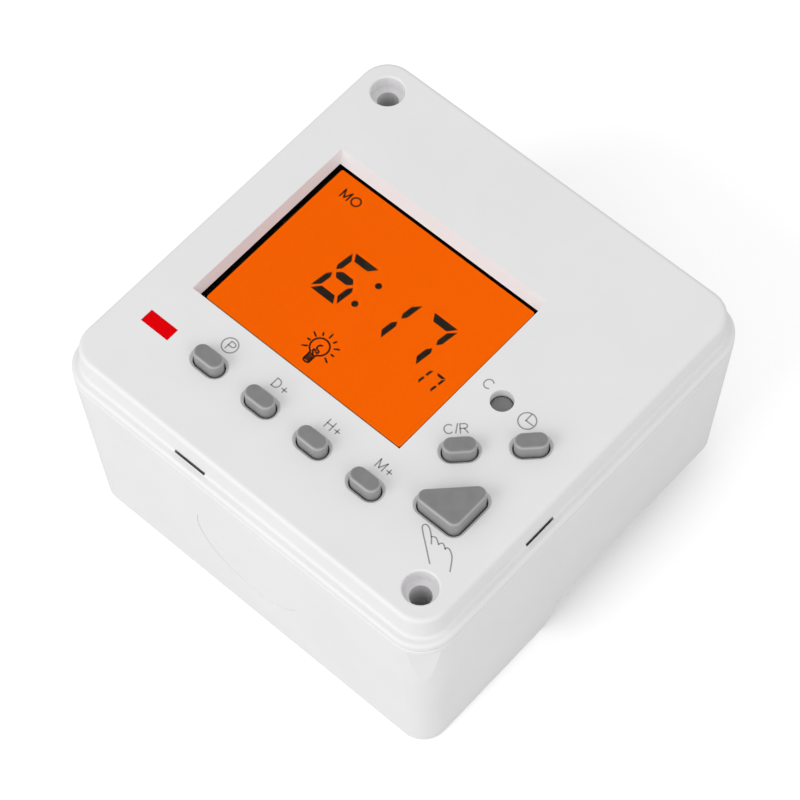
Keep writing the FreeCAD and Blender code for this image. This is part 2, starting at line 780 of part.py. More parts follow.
def knock_out(body):
    """The score line of the cable knock-out on the leaning lower wall, over the lower half of a circle."""
    wall = f"({FLOOR_HALF} + knockout_height * floor_inset / {RIM})"
    lean = f"atan(floor_inset / {RIM})"
    groove = sketch_on(
        body, "KnockOutLine", "XZ_Plane", wall, "knockout_x", "knockout_height", lean, axis=(1, 0, 0)
    )
    first, last = (math.radians(number(angle)) for angle in ("knockout_from", "knockout_to"))
    radii = [f"(knockout_radius {sign} knockout_groove / 2)" for sign in ("-", "+")]
    ends = []
    for radius in radii:
        ring = Part.Circle(FreeCAD.Vector(), FreeCAD.Vector(0, 0, 1), number(radius))
        arc = groove.addGeometry(Part.ArcOfCircle(ring, first, last), False)
        constrain(groove, "Coincident", arc, 3, -1, 1)
        hold(groove, arc, 1, f"{radius} * cos(knockout_from)", f"{radius} * sin(knockout_from)")
        constrain(groove, "DistanceY", -1, 1, arc, 2, size=f"{radius} * sin(knockout_to)")
        ends.append([ring.value(first), ring.value(last)])
    for k, point in enumerate((1, 2)):
        line = groove.addGeometry(Part.LineSegment(ends[0][k], ends[1][k]), False)
        constrain(groove, "Coincident", line, 1, 0, point)
        constrain(groove, "Coincident", line, 2, 1, point)
    pocket(body, "KnockOut", groove, "knockout_depth", both=True)


def front_cover():
    """The cover: a flange, a plateau with the face, and everything moulded on its underside."""
    body = new_body("FrontCover")
    flange = sketch_on(body, "FlangeOutline", lift="parting_height")
    rounded(flange, square(HALF), "rim_radius")
    pad(body, "Flange", flange, "flange_height")
    doc.recompute()
    top = number("parting_height + flange_height")
    soften(body, "Fillet", "FlangeEdge", level_edges(body.Shape, top), "flange_round")
    foot = level_edges(body.Shape, number("parting_height"))
    soften(body, "Fillet", "FlangeFoot", foot, "flange_foot_round")
    plateau = sketch_on(body, "PlateauOutline", lift="parting_height")
    rounded(plateau, square(PLATEAU_HALF), "plateau_radius")
    pad(body, "Plateau", plateau, "cover_height")
    doc.recompute()
    soften(body, "Fillet", "PlateauEdge", level_edges(body.Shape, number(FACE)), "plateau_round")
    inner = number(f"{PLATEAU_HALF} + 0.01")
    soften(body, "Fillet", "LedgeCorner", level_edges(body.Shape, top, highest=inner), "ledge_round")

    inside = sketch_on(body, "InsideOutline", lift="parting_height")
    rounded(inside, square(COVER_INNER_HALF), "plateau_radius - cover_wall")
    pocket(body, "Inside", inside, "cover_height - cover_wall", flipped=True)
    skirt = sketch_on(body, "SkirtOutline", lift="parting_height")
    rounded(skirt, square(SKIRT_HALF), "rim_radius - housing_wall - fit_gap")
    rounded(skirt, square(COVER_INNER_HALF), "plateau_radius - cover_wall")
    pad(body, "Skirt", skirt, "skirt_depth", flipped=True)
    window(body)
    screw_bosses(body)
    board_posts(body)
    key_holes(body)
    snaps(body)
    return keep(body, "front_cover")


def window_sides(across, below=None, above=None):
    """The window's left, right, lower and upper edges, moved out by a margin, or by one for each way."""
    below = across if below is None else below
    above = below if above is None else above
    return (
        f"{WINDOW_LEFT} - ({across})",
        f"{WINDOW_RIGHT} + ({across})",
        f"{WINDOW_LOW} - ({below})",
        f"{WINDOW_HIGH} + ({above})",
    )


def window(body):
    """A funnel through the face, and a frame below that holds the lens against it."""
    frame = sketch_on(body, "LensFrameOutline", lift=UNDERSIDE)
    rectangle(frame, *window_sides("lens_margin + fit_gap + lens_frame_wall"))
    pad(body, "LensFrame", frame, f"{UNDERSIDE} - {LENS_BOTTOM}", flipped=True)
    seat = sketch_on(body, "LensSeatOutline", lift=LENS_BOTTOM)
    rectangle(seat, *window_sides("lens_margin + fit_gap"))
    pocket(body, "LensSeat", seat, "lens_thickness", flipped=True)
    mouth = sketch_on(body, "WindowMouth", lift=FACE)
    rectangle(mouth, *window_sides("0"))
    throat = sketch_on(body, "WindowThroat", lift=LENS_TOP)
    rectangle(throat, *window_sides("-window_lean", "-window_lean", "-window_lean_top"))
    doc.recompute()
    funnel = body.newObject("PartDesign::SubtractiveLoft", "Window")
    funnel.Profile = mouth
    funnel.Sections = [throat]
    funnel.Ruled = True
    body.Tip = funnel
    doc.recompute()


def screw_bosses(body):
    """A counterbored boss round each fixing screw, down to the housing's tube."""
    bosses = sketch_on(body, "BossOutline", lift=UNDERSIDE)
    two_corners(bosses, "boss_diameter / 2")
    pad(body, "Bosses", bosses, f"{UNDERSIDE} - {BOSS_END} - parting_gap", flipped=True)
    holes = sketch_on(body, "ScrewHoleCentres", lift=FACE)
    two_corners(holes, "screw_bore / 2")
    doc.recompute()
    hole = body.newObject("PartDesign::Hole", "ScrewHoles")
    hole.Profile = holes
    hole.DepthType = "ThroughAll"
    hole.HoleCutType = "Counterbore"
    hole.HoleCutCustomValues = True
    hole.DrillPoint = "Flat"
    bind(hole, Diameter="screw_bore", HoleCutDiameter="counterbore", HoleCutDepth="counterbore_depth")
    body.Tip = hole
    doc.recompute()
    mouths = []
    for index, edge in enumerate(body.Shape.Edges, start=1):
        centre = edge.BoundBox.Center
        off_screw = math.hypot(abs(centre.x) - number(SCREW_PLACE), abs(centre.y) - number(SCREW_PLACE))
        if edge.BoundBox.ZMin > number(FACE) - 1e-4 and off_screw < number("screw_bore / 2"):
            mouths.append(f"Edge{index}")
    soften(body, "Fillet", "CounterboreMouths", mouths, "counterbore_round")


def cover_post_places():
    """Four posts, two pairs that match when the cover is turned half round."""
    return [
        (NEAR_POST_X, f"-{COVER_POST_Y}"),
        (f"-{NEAR_POST_X}", COVER_POST_Y),
        (FAR_POST_X, COVER_POST_Y),
        (f"-{FAR_POST_X}", f"-{COVER_POST_Y}"),
    ]


def board_posts(body):
    posts = sketch_on(body, "PostOutline", lift=UNDERSIDE)
    pilots = sketch_on(body, "PilotOutline", lift=BOARD_TOP)
    for x, y in cover_post_places():
        circle(posts, x, y, "post_radius")
        circle(pilots, x, y, "post_pilot_radius")
    pad(body, "Posts", posts, f"{UNDERSIDE} - {BOARD_TOP}", flipped=True)
    pocket(body, "Pilots", pilots, "post_pilot_depth", flipped=True)


def key_holes(body):
    """Openings for the keys, each a gap larger than its key, all but the reset key's chamfered."""
    depth = "cover_wall * 2"
    for name, (x, y, turn) in KEYS.items():
        hole = sketch_on(body, f"{name.capitalize()}Hole", lift=FACE, x=x, y=y, turn=turn)
        stadium(hole, "key_length + 2 * key_gap", "key_width + 2 * key_gap")
        pocket(body, f"{name.capitalize()}Opening", hole, depth)
    manual = sketch_on(body, "ManualHole", lift=FACE, x=MANUAL_X, y=MANUAL_Y)
    triangle(manual, "key_gap")
    pocket(body, "ManualOpening", manual, depth)
    reset = sketch_on(body, "ResetHole", lift=FACE, x=RESET_X, y=RESET_Y)
    circle(reset, "0", "0", "reset_diameter / 2 + key_gap")
    pocket(body, "ResetOpening", reset, depth)
    edges = []
    for index, edge in enumerate(body.Shape.Edges, start=1):
        centre = edge.BoundBox.Center
        on_face = edge.BoundBox.ZMin > number(FACE) - 1e-4
        right_of_window = centre.x > number(f"{WINDOW_RIGHT} + key_gap")
        below_window = centre.y < number(f"{WINDOW_LOW} - key_gap")
        near_screw = math.hypot(centre.x - number(SCREW_PLACE), centre.y + number(SCREW_PLACE))
        near_reset = math.hypot(centre.x - number(RESET_X), centre.y - number(RESET_Y))
        apart = near_screw > number("counterbore") and near_reset > number("reset_diameter / 2")
        inside = max(abs(centre.x), abs(centre.y)) < number(f"{PLATEAU_HALF} - plateau_round * 2")
        if on_face and inside and (right_of_window or below_window) and apart:
            edges.append(f"Edge{index}")
    soften(body, "Chamfer", "KeyHoleEdges", edges, "key_chamfer")
    slot = sketch_on(body, "IndicatorHole", lift=FACE)
    rectangle(slot, *indicator_sides("running_gap"))
    pocket(body, "IndicatorOpening", slot, depth)


def indicator_sides(grow):
    return (
        f"{INDICATOR_X} - indicator_length / 2 - ({grow})",
        f"{INDICATOR_X} + indicator_length / 2 + ({grow})",
        f"{INDICATOR_Y} - indicator_width / 2 - ({grow})",
        f"{INDICATOR_Y} + indicator_width / 2 + ({grow})",
    )


def snaps(body):
    """On each side a slot through the flank, open to below, and under it a snap arm with its hook."""
    slot = sketch_on(body, "SlotOutline", "XZ_Plane", lift=f"{COVER_INNER_HALF} - cover_wall")
    high = "(parting_height + flange_height + snap_slot_height)"
    half = "(snap_slot_length / 2)"
    rectangle(slot, f"-snap_offset - {half}", f"{half} - snap_offset", "parting_height", high)
    slot_pocket = pocket(body, "Slot", slot, "cover_wall * 2 + ledge_round / 2", flipped=True)
    around(body, "Slots", [slot_pocket], 4)
    arm = sketch_on(body, "SnapArmOutline", "YZ_Plane", lift="-snap_offset - snap_arm_width / 2")
    end = f"({RIM} - snap_arm_drop)"
    back = f"-({SKIRT_HALF} - snap_arm_thickness)"
    corners = [
        (f"-{SKIRT_HALF}", "parting_height - skirt_depth / 2"),
        (f"-{SKIRT_HALF}", f"{end} + snap_hook_height"),
        (f"-({SKIRT_HALF} + snap_hook_reach)", f"{end} + snap_hook_height"),
        (f"-{SKIRT_HALF}", end),
        (back, end),
        (back, "parting_height - skirt_depth / 2"),
    ]
    polygon(arm, corners)
    arm_pad = pad(body, "SnapArm", arm, "snap_arm_width")
    around(body, "SnapArms", [arm_pad], 4)


def key(name, outline, x, y, turn, cap_top, edge_round):
    """A key: a cap with a rounded top edge, and a flange that stays under the cover."""
    body = new_body(f"{name.capitalize()}Key")
    base = sketch_on(body, f"{name.capitalize()}Flange", lift=KEY_BOTTOM)
    outline(base, "key_flange")
    pad(body, f"{name.capitalize()}FlangePad", base, "key_flange_thickness")
    cap = sketch_on(body, f"{name.capitalize()}Cap", lift=KEY_BOTTOM)
    outline(cap, "0")
    pad(body, f"{name.capitalize()}CapPad", cap, f"{cap_top} - {KEY_BOTTOM}")
    doc.recompute()
    soften(body, "Fillet", f"{name.capitalize()}Edge", level_edges(body.Shape, number(cap_top)), edge_round)
    place(body, x, y, "0", turn)
    return keep(body, f"{name}_key")


def slot_key(sketch, grow):
    stadium(sketch, f"key_length + 2 * ({grow})", f"key_width + 2 * ({grow})")


def round_key(sketch, grow):
    circle(sketch, "0", "0", f"reset_diameter / 2 + ({grow})")


def keys_and_switches():
    """All keys, the plunger that each one stands on, and the switch bodies on the board."""
    proud = f"({FACE} + key_rise)"
    manual_top = f"({FACE} + manual_rise)"
    sunk = f"({FACE} - reset_sink)"
    for name, (x, y, turn) in KEYS.items():
        key(name, slot_key, x, y, turn, proud, "key_round")
    key("manual", triangle, MANUAL_X, MANUAL_Y, "0", manual_top, "key_round")
    key("reset", round_key, RESET_X, RESET_Y, "0", sunk, "reset_round")
    cases = []
    bores = []
    foot = f"{SWITCH_TOP} - plunger_depth"
    for name, (x, y) in SWITCHES.items():
        plunger = cylinder(f"{name.capitalize()}Plunger", x, y, foot, KEY_BOTTOM, "plunger_radius")
        keep(plunger, f"{name}_plunger")
        side = "switch_width / 2"
        title = name.capitalize()
        sides = (f"{x} - {side}", f"{x} + {side}", f"{y} - {side}", f"{y} + {side}")
        cases.append(box(f"{title}SwitchCase", *sides, BOARD_TOP, SWITCH_TOP))
        low = f"{foot} - key_travel - fit_gap"
        high = f"{SWITCH_TOP} + fit_gap"
        bores.append(cylinder(f"{title}SwitchBore", x, y, low, high, "plunger_radius + running_gap"))
    switches = cut("Switches", group("SwitchCases", cases), group("SwitchBores", bores))
    keep(switches, "key_switches")


def display_stack():
    """Lens, liquid-crystal glass, its connectors, light guide, lamps and frame, from the front."""
    keep(box("Lens", *window_sides("lens_margin"), LENS_BOTTOM, LENS_TOP), "window_lens")
    x0, x1, y0, y1 = window_sides("glass_margin", "glass_margin + contact_ledge / 2")
    glass_middle = f"({GLASS_TOP} - glass_plate)"
    front = box("FrontGlass", x0, x1, y0, y1, glass_middle, GLASS_TOP)
    inner = (f"{y0} + contact_ledge", f"{y1} - contact_ledge")
    rear = box("RearGlass", x0, x1, *inner, GLASS_BOTTOM, glass_middle)
    keep(fuse("LcdGlass", [front, rear]), "lcd_glass")

    strips = []
    for title, edge, sign in (("Lower", y0, "+"), ("Upper", y1, "-")):
        middle = f"({edge} {sign} (contact_ledge - running_gap) / 2)"
        sides = (f"{middle} - connector_thickness / 2", f"{middle} + connector_thickness / 2")
        ends = (f"{x0} + connector_shortfall", f"{x1} - connector_shortfall")
        strips.append(box(f"{title}Connector", *ends, *sides, BOARD_TOP, glass_middle))
    keep(group("Connectors", strips), "elastomer_connectors")

    right = f"({x1} - fit_gap)"
    ledges = (f"{y0} + contact_ledge + fit_gap", f"{y1} - contact_ledge - fit_gap")
    levels = (BOARD_TOP, f"{BOARD_TOP} + light_guide_thickness")
    guide = box("GuideBlock", f"{x0} + fit_gap", right, *ledges, *levels)
    notches = []
    lamps = []
    lamp_top = f"({BOARD_TOP} + backlight_led_height)"
    left = f"({right} - backlight_led_depth)"
    for title, sign in (("Lower", "-"), ("Upper", "+")):
        low = f"({WINDOW_Y} {sign} ({WINDOW_HIGH} - {WINDOW_LOW}) / 4 - backlight_led_length / 2)"
        high = f"({low} + backlight_led_length)"
        lamps.append(box(f"{title}Lamp", left, right, low, high, BOARD_TOP, lamp_top))
        sides = (f"{left} - running_gap", f"{right} + running_gap")
        ends = (f"{low} - running_gap", f"{high} + running_gap")
        notches.append(box(f"{title}LampNotch", *sides, *ends, BOARD_TOP, f"{lamp_top} + running_gap"))
    keep(cut("LightGuide", guide, group("LampNotches", notches)), "light_guide")
    keep(group("Lamps", lamps), "backlight_leds")

    body = new_body("LcdFrame")
    ring = sketch_on(body, "FrameOutline", lift=BOARD_TOP)
    clear = ("glass_margin + fit_gap", "glass_margin + contact_ledge / 2 + fit_gap")
    rectangle(ring, *window_sides(*(f"{margin} + lcd_frame_wall" for margin in clear)))
    rectangle(ring, *window_sides(*clear))
    pad(body, "FrameWall", ring, f"{GLASS_TOP} - {BOARD_TOP}")
    pegs = sketch_on(body, "PegOutline", lift=BOARD_TOP)
    lcd_pegs(pegs, "lcd_peg_radius")
    pad(body, "Pegs", pegs, "board_thickness", flipped=True)
    keep(body, "lcd_frame")


def lcd_pegs(sketch, radius):
    """Two locating pegs in the middle of the frame's upper and lower walls."""
    reach = "(glass_margin + contact_ledge / 2 + fit_gap + lcd_frame_wall / 2)"
    circle(sketch, WINDOW_X, f"{WINDOW_LOW} - {reach}", radius)
    circle(sketch, WINDOW_X, f"{WINDOW_HIGH} + {reach}", radius)


def display_board():
    """The display board, with clearance round the screw bosses and holes for screws and pegs."""
    body = new_body("DisplayBoard")
    outline = sketch_on(body, "BoardOutline", lift=BOARD_BOTTOM)
    rounded(outline, square(f"({COVER_INNER_HALF} - board_gap)"), "board_corner")
    pad(body, "Board", outline, "board_thickness")
    corners = sketch_on(body, "BoardCorners", lift=BOARD_TOP)
    two_corners(corners, "boss_diameter / 2 + board_gap")
    pocket(body, "CornerCuts", corners, "board_thickness * 2")
    holes = sketch_on(body, "BoardHoles", lift=BOARD_TOP)
    for x, y in cover_post_places():
        circle(holes, x, y, "board_screw_radius + running_gap")
    lcd_pegs(holes, "lcd_peg_radius + running_gap")
    pocket(body, "Holes", holes, "board_thickness * 2")
    keep(body, "display_board")


def screw(name, x, y, seat, up):
    """A small screw with its head on a board, its shank up into a post or down into one."""
    sign = "+" if up else "-"
    head_sign = "-" if up else "+"
    shank_end = f"({seat} {sign} board_screw_length)"
    head_end = f"({seat} {head_sign} board_screw_head_height)"
    ends = (seat, shank_end) if up else (shank_end, seat)
    head = (head_end, seat) if up else (seat, head_end)
    shank = cylinder(f"{name}Shank", x, y, *ends, "board_screw_radius")
    cap = cylinder(f"{name}Head", x, y, *head, "board_screw_head")
    return fuse(name, [shank, cap])


def power_post_places():
    return [(f"{side}{POWER_POST_X}", f"{end}{POWER_POST_Y}") for side in ("", "-") for end in ("", "-")]


def board_screws():
    upper = enumerate(cover_post_places(), start=1)
    display = [screw(f"DisplayScrew{k}", x, y, BOARD_BOTTOM, True) for k, (x, y) in upper]
    keep(group("DisplayScrews", display), "display_board_screws")
    lower = enumerate(power_post_places(), start=1)
    power = [screw(f"PowerScrew{k}", x, y, POWER_TOP, False) for k, (x, y) in lower]
    keep(group("PowerScrews", power), "power_board_screws")


def indicator():
    """The red lens flush with the face, and the lamp under it."""
    block = box("IndicatorBlock", *indicator_sides("0"), KEY_FLANGE_TOP, FACE)
    lip = box("IndicatorLip", *indicator_sides("indicator_flange"), KEY_BOTTOM, UNDERSIDE)
    keep(fuse("IndicatorLens", [block, lip]), "indicator_lens")
    place_of = (INDICATOR_X, INDICATOR_Y)
    shoulder = f"({KEY_BOTTOM} - fit_gap - indicator_led_radius)"
    rim_top = f"{BOARD_TOP} + indicator_led_rim_height"
    rim = cylinder("LedRim", *place_of, BOARD_TOP, rim_top, "indicator_led_radius + indicator_led_rim")
    stem = cylinder("LedStem", *place_of, BOARD_TOP, shoulder, "indicator_led_radius")
    dome = doc.addObject("Part::Sphere", "LedDome")
    bind(dome, Radius="indicator_led_radius")
    place(dome, *place_of, shoulder)
    keep(fuse("IndicatorLed", [rim, stem, dome]), "indicator_led")


def display_board_parts():
    """The chip under its blob, the crystal and the back-up cell, on the board's underside."""
    curve = "((chip_radius ^ 2 + chip_height ^ 2) / (2 * chip_height))"
    chip = doc.addObject("Part::Sphere", "Chip")
    chip.Angle1 = -90
    bind(chip, Radius=curve, Angle2=f"-asin(({curve} - chip_height) / {curve})")
    keep(place(chip, "chip_x", "chip_y", f"{BOARD_BOTTOM} + {curve} - chip_height"), "timer_chip")

    low = f"({BOARD_BOTTOM} - crystal_radius)"
    tip = "crystal_x + crystal_length"
    can = lying_cylinder("CrystalCan", "crystal_x", tip, "crystal_y", low, "crystal_radius")
    legs = []
    root = "crystal_x - crystal_leg_length"
    for title, sign in (("Near", "-"), ("Far", "+")):
        side = f"crystal_y {sign} crystal_leg_spread / 2"
        legs.append(lying_cylinder(f"{title}CrystalLeg", root, "crystal_x", side, low, "crystal_leg_radius"))
    keep(fuse("Crystal", [can, *legs]), "watch_crystal")

    cell_low = f"({BOARD_BOTTOM} - cell_height)"
    keep(cylinder("Cell", "cell_x", "cell_y", cell_low, BOARD_BOTTOM, "cell_radius"), "backup_cell")
    half = "cell_strap_width / 2"
    reach = "(cell_radius + cell_strap_thickness)"
    under = f"({cell_low} - cell_strap_thickness)"
    across = (f"cell_y - {half}", f"cell_y + {half}")
    strap = [box("CellStrap", f"cell_x - {reach}", f"cell_x + {reach}", *across, under, cell_low)]
    for title, edge in (("Left", f"cell_x - {reach}"), ("Right", "cell_x + cell_radius")):
        far = f"{edge} + cell_strap_thickness"
        strap.append(box(f"{title}StrapLeg", edge, far, *across, under, BOARD_BOTTOM))
    keep(fuse("CellStraps", strap), "backup_cell_strap")


LEADS = []


def leads(title, places, top=f"{POWER_TOP} + lead_radius"):
    """Round leads down through the power board, remembered so that the board has a hole for each."""
    LEADS.extend(places)
    return [
        cylinder(f"{title}Lead{k}", x, y, LEAD_END, top, "lead_radius")
        for k, (x, y) in enumerate(places, start=1)
    ]


def pair(x, y, pitch):
    """Places of two leads a pitch apart along X."""
    return [(f"{x} - {pitch} / 2", y), (f"{x} + {pitch} / 2", y)]


def moulded(title, x, y, length, width, height, radius):
    """A moulded block on the power board with rounded upright and top edges."""
    body = new_body(f"{title}Block")
    outline = sketch_on(body, f"{title}Outline", lift=POWER_TOP, x=x, y=y)
    half = (f"({length} / 2)", f"({width} / 2)")
    corners = [(f"{a}{half[0]}", f"{b}{half[1]}") for a, b in (("-", "-"), ("", "-"), ("", ""), ("-", ""))]
    rounded(outline, corners, radius)
    pad(body, f"{title}Pad", outline, height)
    doc.recompute()
    top = number(f"{POWER_TOP} + {height}")
    soften(body, "Fillet", f"{title}TopEdge", level_edges(body.Shape, top), f"{radius} / 2")
    return body


def axial(title, x, y, radius, length, lead, span):
    """A round part lying along X with its two leads bent down into the board."""
    axis = f"({POWER_TOP} + {radius})"
    body = lying_cylinder(f"{title}Body", f"{x} - {length} / 2", f"{x} + {length} / 2", y, axis, radius)
    wire = lying_cylinder(f"{title}Wire", f"{x} - {span} / 2", f"{x} + {span} / 2", y, axis, lead)
    pieces = [body, wire]
    for side, (foot, _) in zip(("Left", "Right"), pair(x, y, span)):
        LEADS.append((foot, y))
        pieces.append(cylinder(f"{title}{side}Leg", foot, y, LEAD_END, axis, lead))
        bend = doc.addObject("Part::Sphere", f"{title}{side}Bend")
        bind(bend, Radius=lead)
        pieces.append(place(bend, foot, y, axis))
    return fuse(title, pieces)


def relay():
    sizes = ("relay_length", "relay_width", "relay_height", "relay_round")
    block = moulded("Relay", "relay_x", "relay_y", *sizes)
    pins = [(f"relay_x {a} relay_pin_side", f"relay_y {b} relay_pin_end") for a in "-+" for b in "-+"]
    keep(fuse("Relay", [block, *leads("Relay", pins)]), "relay")


def film_capacitor():
    """The dropper capacitor, its left end at a named place."""
    length = "film_capacitor_length"
    sizes = (length, "film_capacitor_width", "film_capacitor_height", "film_capacitor_round")
    middle = f"(film_capacitor_x + {length} / 2)"
    block = moulded("FilmCapacitor", middle, FILM_CAPACITOR_Y, *sizes)
    pins = pair(middle, FILM_CAPACITOR_Y, f"({length} - 2 * film_capacitor_pin_inset)")
    keep(fuse("FilmCapacitor", [block, *leads("FilmCapacitor", pins)]), "film_capacitor")


def smoothing_capacitor():
    """An upright can with the crimped groove near its foot."""
    body = new_body("Can")
    outline = sketch_on(body, "CanOutline", lift=POWER_TOP)
    circle(outline, "can_x", "can_y", "can_radius")
    pad(body, "CanPad", outline, "can_height")
    ring = sketch_on(body, "CanGroove", lift=f"{POWER_TOP} + can_groove_height")
    circle(ring, "can_x", "can_y", "can_radius + can_groove")
    circle(ring, "can_x", "can_y", "can_radius - can_groove")
    pocket(body, "CanCrimp", ring, "can_groove * 2", flipped=True)
    top = number(f"{POWER_TOP} + can_height")
    soften(body, "Fillet", "CanTopEdge", level_edges(body.Shape, top), "can_groove")
    pins = leads("Can", pair("can_x", "can_y", "can_pitch"))
    keep(fuse("SmoothingCapacitor", [body, *pins]), "smoothing_capacitor")


def varistor():
    """A disc that stands on its edge, held by its two leads."""
    disc = doc.addObject("Part::Cylinder", "VaristorDisc")
    disc.Placement = FreeCAD.Placement(FreeCAD.Vector(), FreeCAD.Rotation(FreeCAD.Vector(1, 0, 0), -90))
    middle = f"{POWER_TOP} + varistor_radius + running_gap"
    bind(disc, Radius="varistor_radius", Height="varistor_thickness")
    front = f"{VARISTOR_Y} - varistor_thickness / 2"
    bind(disc, Placement__Base__x="varistor_x", Placement__Base__y=front, Placement__Base__z=middle)
    pins = leads("Varistor", pair("varistor_x", VARISTOR_Y, "varistor_pitch"), top=middle)
    keep(fuse("Varistor", [disc, *pins]), "varistor")


def fuse_can():
    can = cylinder("FuseCan", "fuse_x", FUSE_Y, POWER_TOP, f"{POWER_TOP} + fuse_height", "fuse_radius")
    keep(fuse("Fuse", [can, *leads("Fuse", pair("fuse_x", FUSE_Y, "fuse_pitch"))]), "fuse")


def diodes_and_resistor():
    """Four rectifier diodes in a row, and the resistor near the board's upper edge."""
    sizes = ("diode_radius", "diode_length", "diode_lead_radius", "diode_lead_span")
    diodes = [axial(f"Diode{k + 1}", "diode_x", f"(diode_y + {k} * diode_pitch)", *sizes) for k in range(4)]
    keep(group("Diodes", diodes), "rectifier_diodes")
    sizes = ("resistor_radius", "resistor_length", "diode_lead_radius", "resistor_lead_span")
    keep(axial("Resistor", "resistor_x", RESISTOR_Y, *sizes), "dropper_resistor")


def transistor():
    """A small round transistor with its flat side, raised on three leads."""
    low = f"({POWER_TOP} + transistor_stand)"
    high = f"({low} + transistor_height)"
    shell = cylinder("TransistorRound", "transistor_x", "transistor_y", low, high, "transistor_radius")
    across = ("transistor_x - 2 * transistor_radius", "transistor_x + 2 * transistor_radius")
    behind = ("transistor_y + transistor_flat", "transistor_y + 2 * transistor_radius")
    flat = box("TransistorFlat", *across, *behind, POWER_TOP, f"{high} + transistor_stand")
    places = [(f"transistor_x + {k} * transistor_pitch", "transistor_y") for k in (-1, 0, 1)]
    pins = leads("Transistor", places, top=f"{low} + lead_radius")
    keep(fuse("Transistor", [cut("TransistorBody", shell, flat), *pins]), "relay_transistor")


def power_parts():
    """Everything that stands on the power board, apart from the terminals."""
    relay()
    film_capacitor()
    smoothing_capacitor()
    varistor()
    fuse_can()
    diodes_and_resistor()
    transistor()


def around_way(way, half):
    """The left and right, lower and upper edges of a square on a terminal's wire axis."""
    return (f"{way} - {half}", f"{way} + {half}", f"{WIRE_LEVEL} - {half}", f"{WIRE_LEVEL} + {half}")


def terminals():
    """The terminal block behind the knock-out: four ways, each with its clamp and screw."""
    body = new_body("TerminalBlock")
    outline = sketch_on(body, "TerminalOutline", lift=POWER_TOP)
    back = f"{TERMINAL_Y} + terminal_depth"
    rectangle(outline, "-2 * terminal_pitch", "2 * terminal_pitch", TERMINAL_Y, back)
    pad(body, "TerminalPad", outline, "terminal_height")
    mouths = sketch_on(body, "WireMouths", "XZ_Plane", lift=f"-{TERMINAL_Y}")
    shafts = sketch_on(body, "ScrewShafts", lift=f"{POWER_TOP} + terminal_height")
    for way in TERMINAL_WAYS:
        rectangle(mouths, *around_way(way, "wire_hole / 2"))
        circle(shafts, way, CLAMP_Y, "terminal_screw_head + fit_gap")
    pocket(body, "WireMouthPocket", mouths, "wire_hole_depth")
    pocket(body, "ScrewShaftPocket", shafts, "terminal_height - wire_hole_height")
    keep(body, "terminal_block")

    outer = "(wire_hole / 2 - running_gap)"
    inner = f"({outer} - clamp_wall)"
    near = f"({CLAMP_Y} - clamp_length / 2)"
    frames = []
    spaces = []
    screws = []
    head_top = f"({POWER_TOP} + terminal_height - terminal_screw_sink)"
    head_low = f"({head_top} - terminal_screw_head_height)"
    for k, way in enumerate(TERMINAL_WAYS, start=1):
        x0, x1, z0, z1 = around_way(way, outer)
        frames.append(box(f"Clamp{k}", x0, x1, near, f"{near} + clamp_length", z0, z1))
        x0, x1, z0, z1 = around_way(way, inner)
        through = (f"{near} - clamp_wall", f"{near} + clamp_length + clamp_wall")
        spaces.append(box(f"ClampSpace{k}", x0, x1, *through, z0, z1))
        bore = "terminal_screw_radius + running_gap"
        spaces.append(cylinder(f"ClampBore{k}", way, CLAMP_Y, WIRE_LEVEL, f"{WIRE_LEVEL} + wire_hole", bore))
        tip = f"({WIRE_LEVEL} + {inner} - terminal_screw_radius)"
        shank = cylinder(f"TerminalShank{k}", way, CLAMP_Y, tip, head_low, "terminal_screw_radius")
        head = cylinder(f"TerminalHead{k}", way, CLAMP_Y, head_low, head_top, "terminal_screw_head")
        reach = "(terminal_screw_head + running_gap)"
        sides = (f"{way} - {reach}", f"{way} + {reach}")
        edges = (f"{CLAMP_Y} - terminal_slot_width / 2", f"{CLAMP_Y} + terminal_slot_width / 2")
        levels = (f"{head_top} - terminal_slot_depth", f"{head_top} + running_gap")
        slot = box(f"TerminalSlot{k}", *sides, *edges, *levels)
        screws.append(cut(f"TerminalScrew{k}", fuse(f"TerminalBolt{k}", [shank, head]), slot))
    keep(cut("Clamps", group("ClampFrames", frames), group("ClampSpaces", spaces)), "terminal_clamps")
    keep(group("TerminalScrews", screws), "terminal_screws")


def power_board():
    """The lower board, cut back round the screw tubes, with a hole for every screw and lead."""
    body = new_body("PowerBoard")
    outline = sketch_on(body, "PowerOutline", lift="power_board_height")
    rounded(outline, square(POWER_HALF), "board_corner")
    pad(body, "PowerSheet", outline, "board_thickness")
    corners = sketch_on(body, "PowerCorners", lift=POWER_TOP)
    two_corners(corners, "boss_diameter / 2 + board_gap")
    pocket(body, "PowerCornerCuts", corners, "board_thickness * 2")
    holes = sketch_on(body, "PowerHoles", lift=POWER_TOP)
    for x, y in power_post_places():
        circle(holes, x, y, "board_screw_radius + running_gap")
    for x, y in LEADS:
        circle(holes, x, y, "diode_lead_radius + running_gap")
    pocket(body, "PowerHolePocket", holes, "board_thickness * 2")
    keep(body, "power_board")


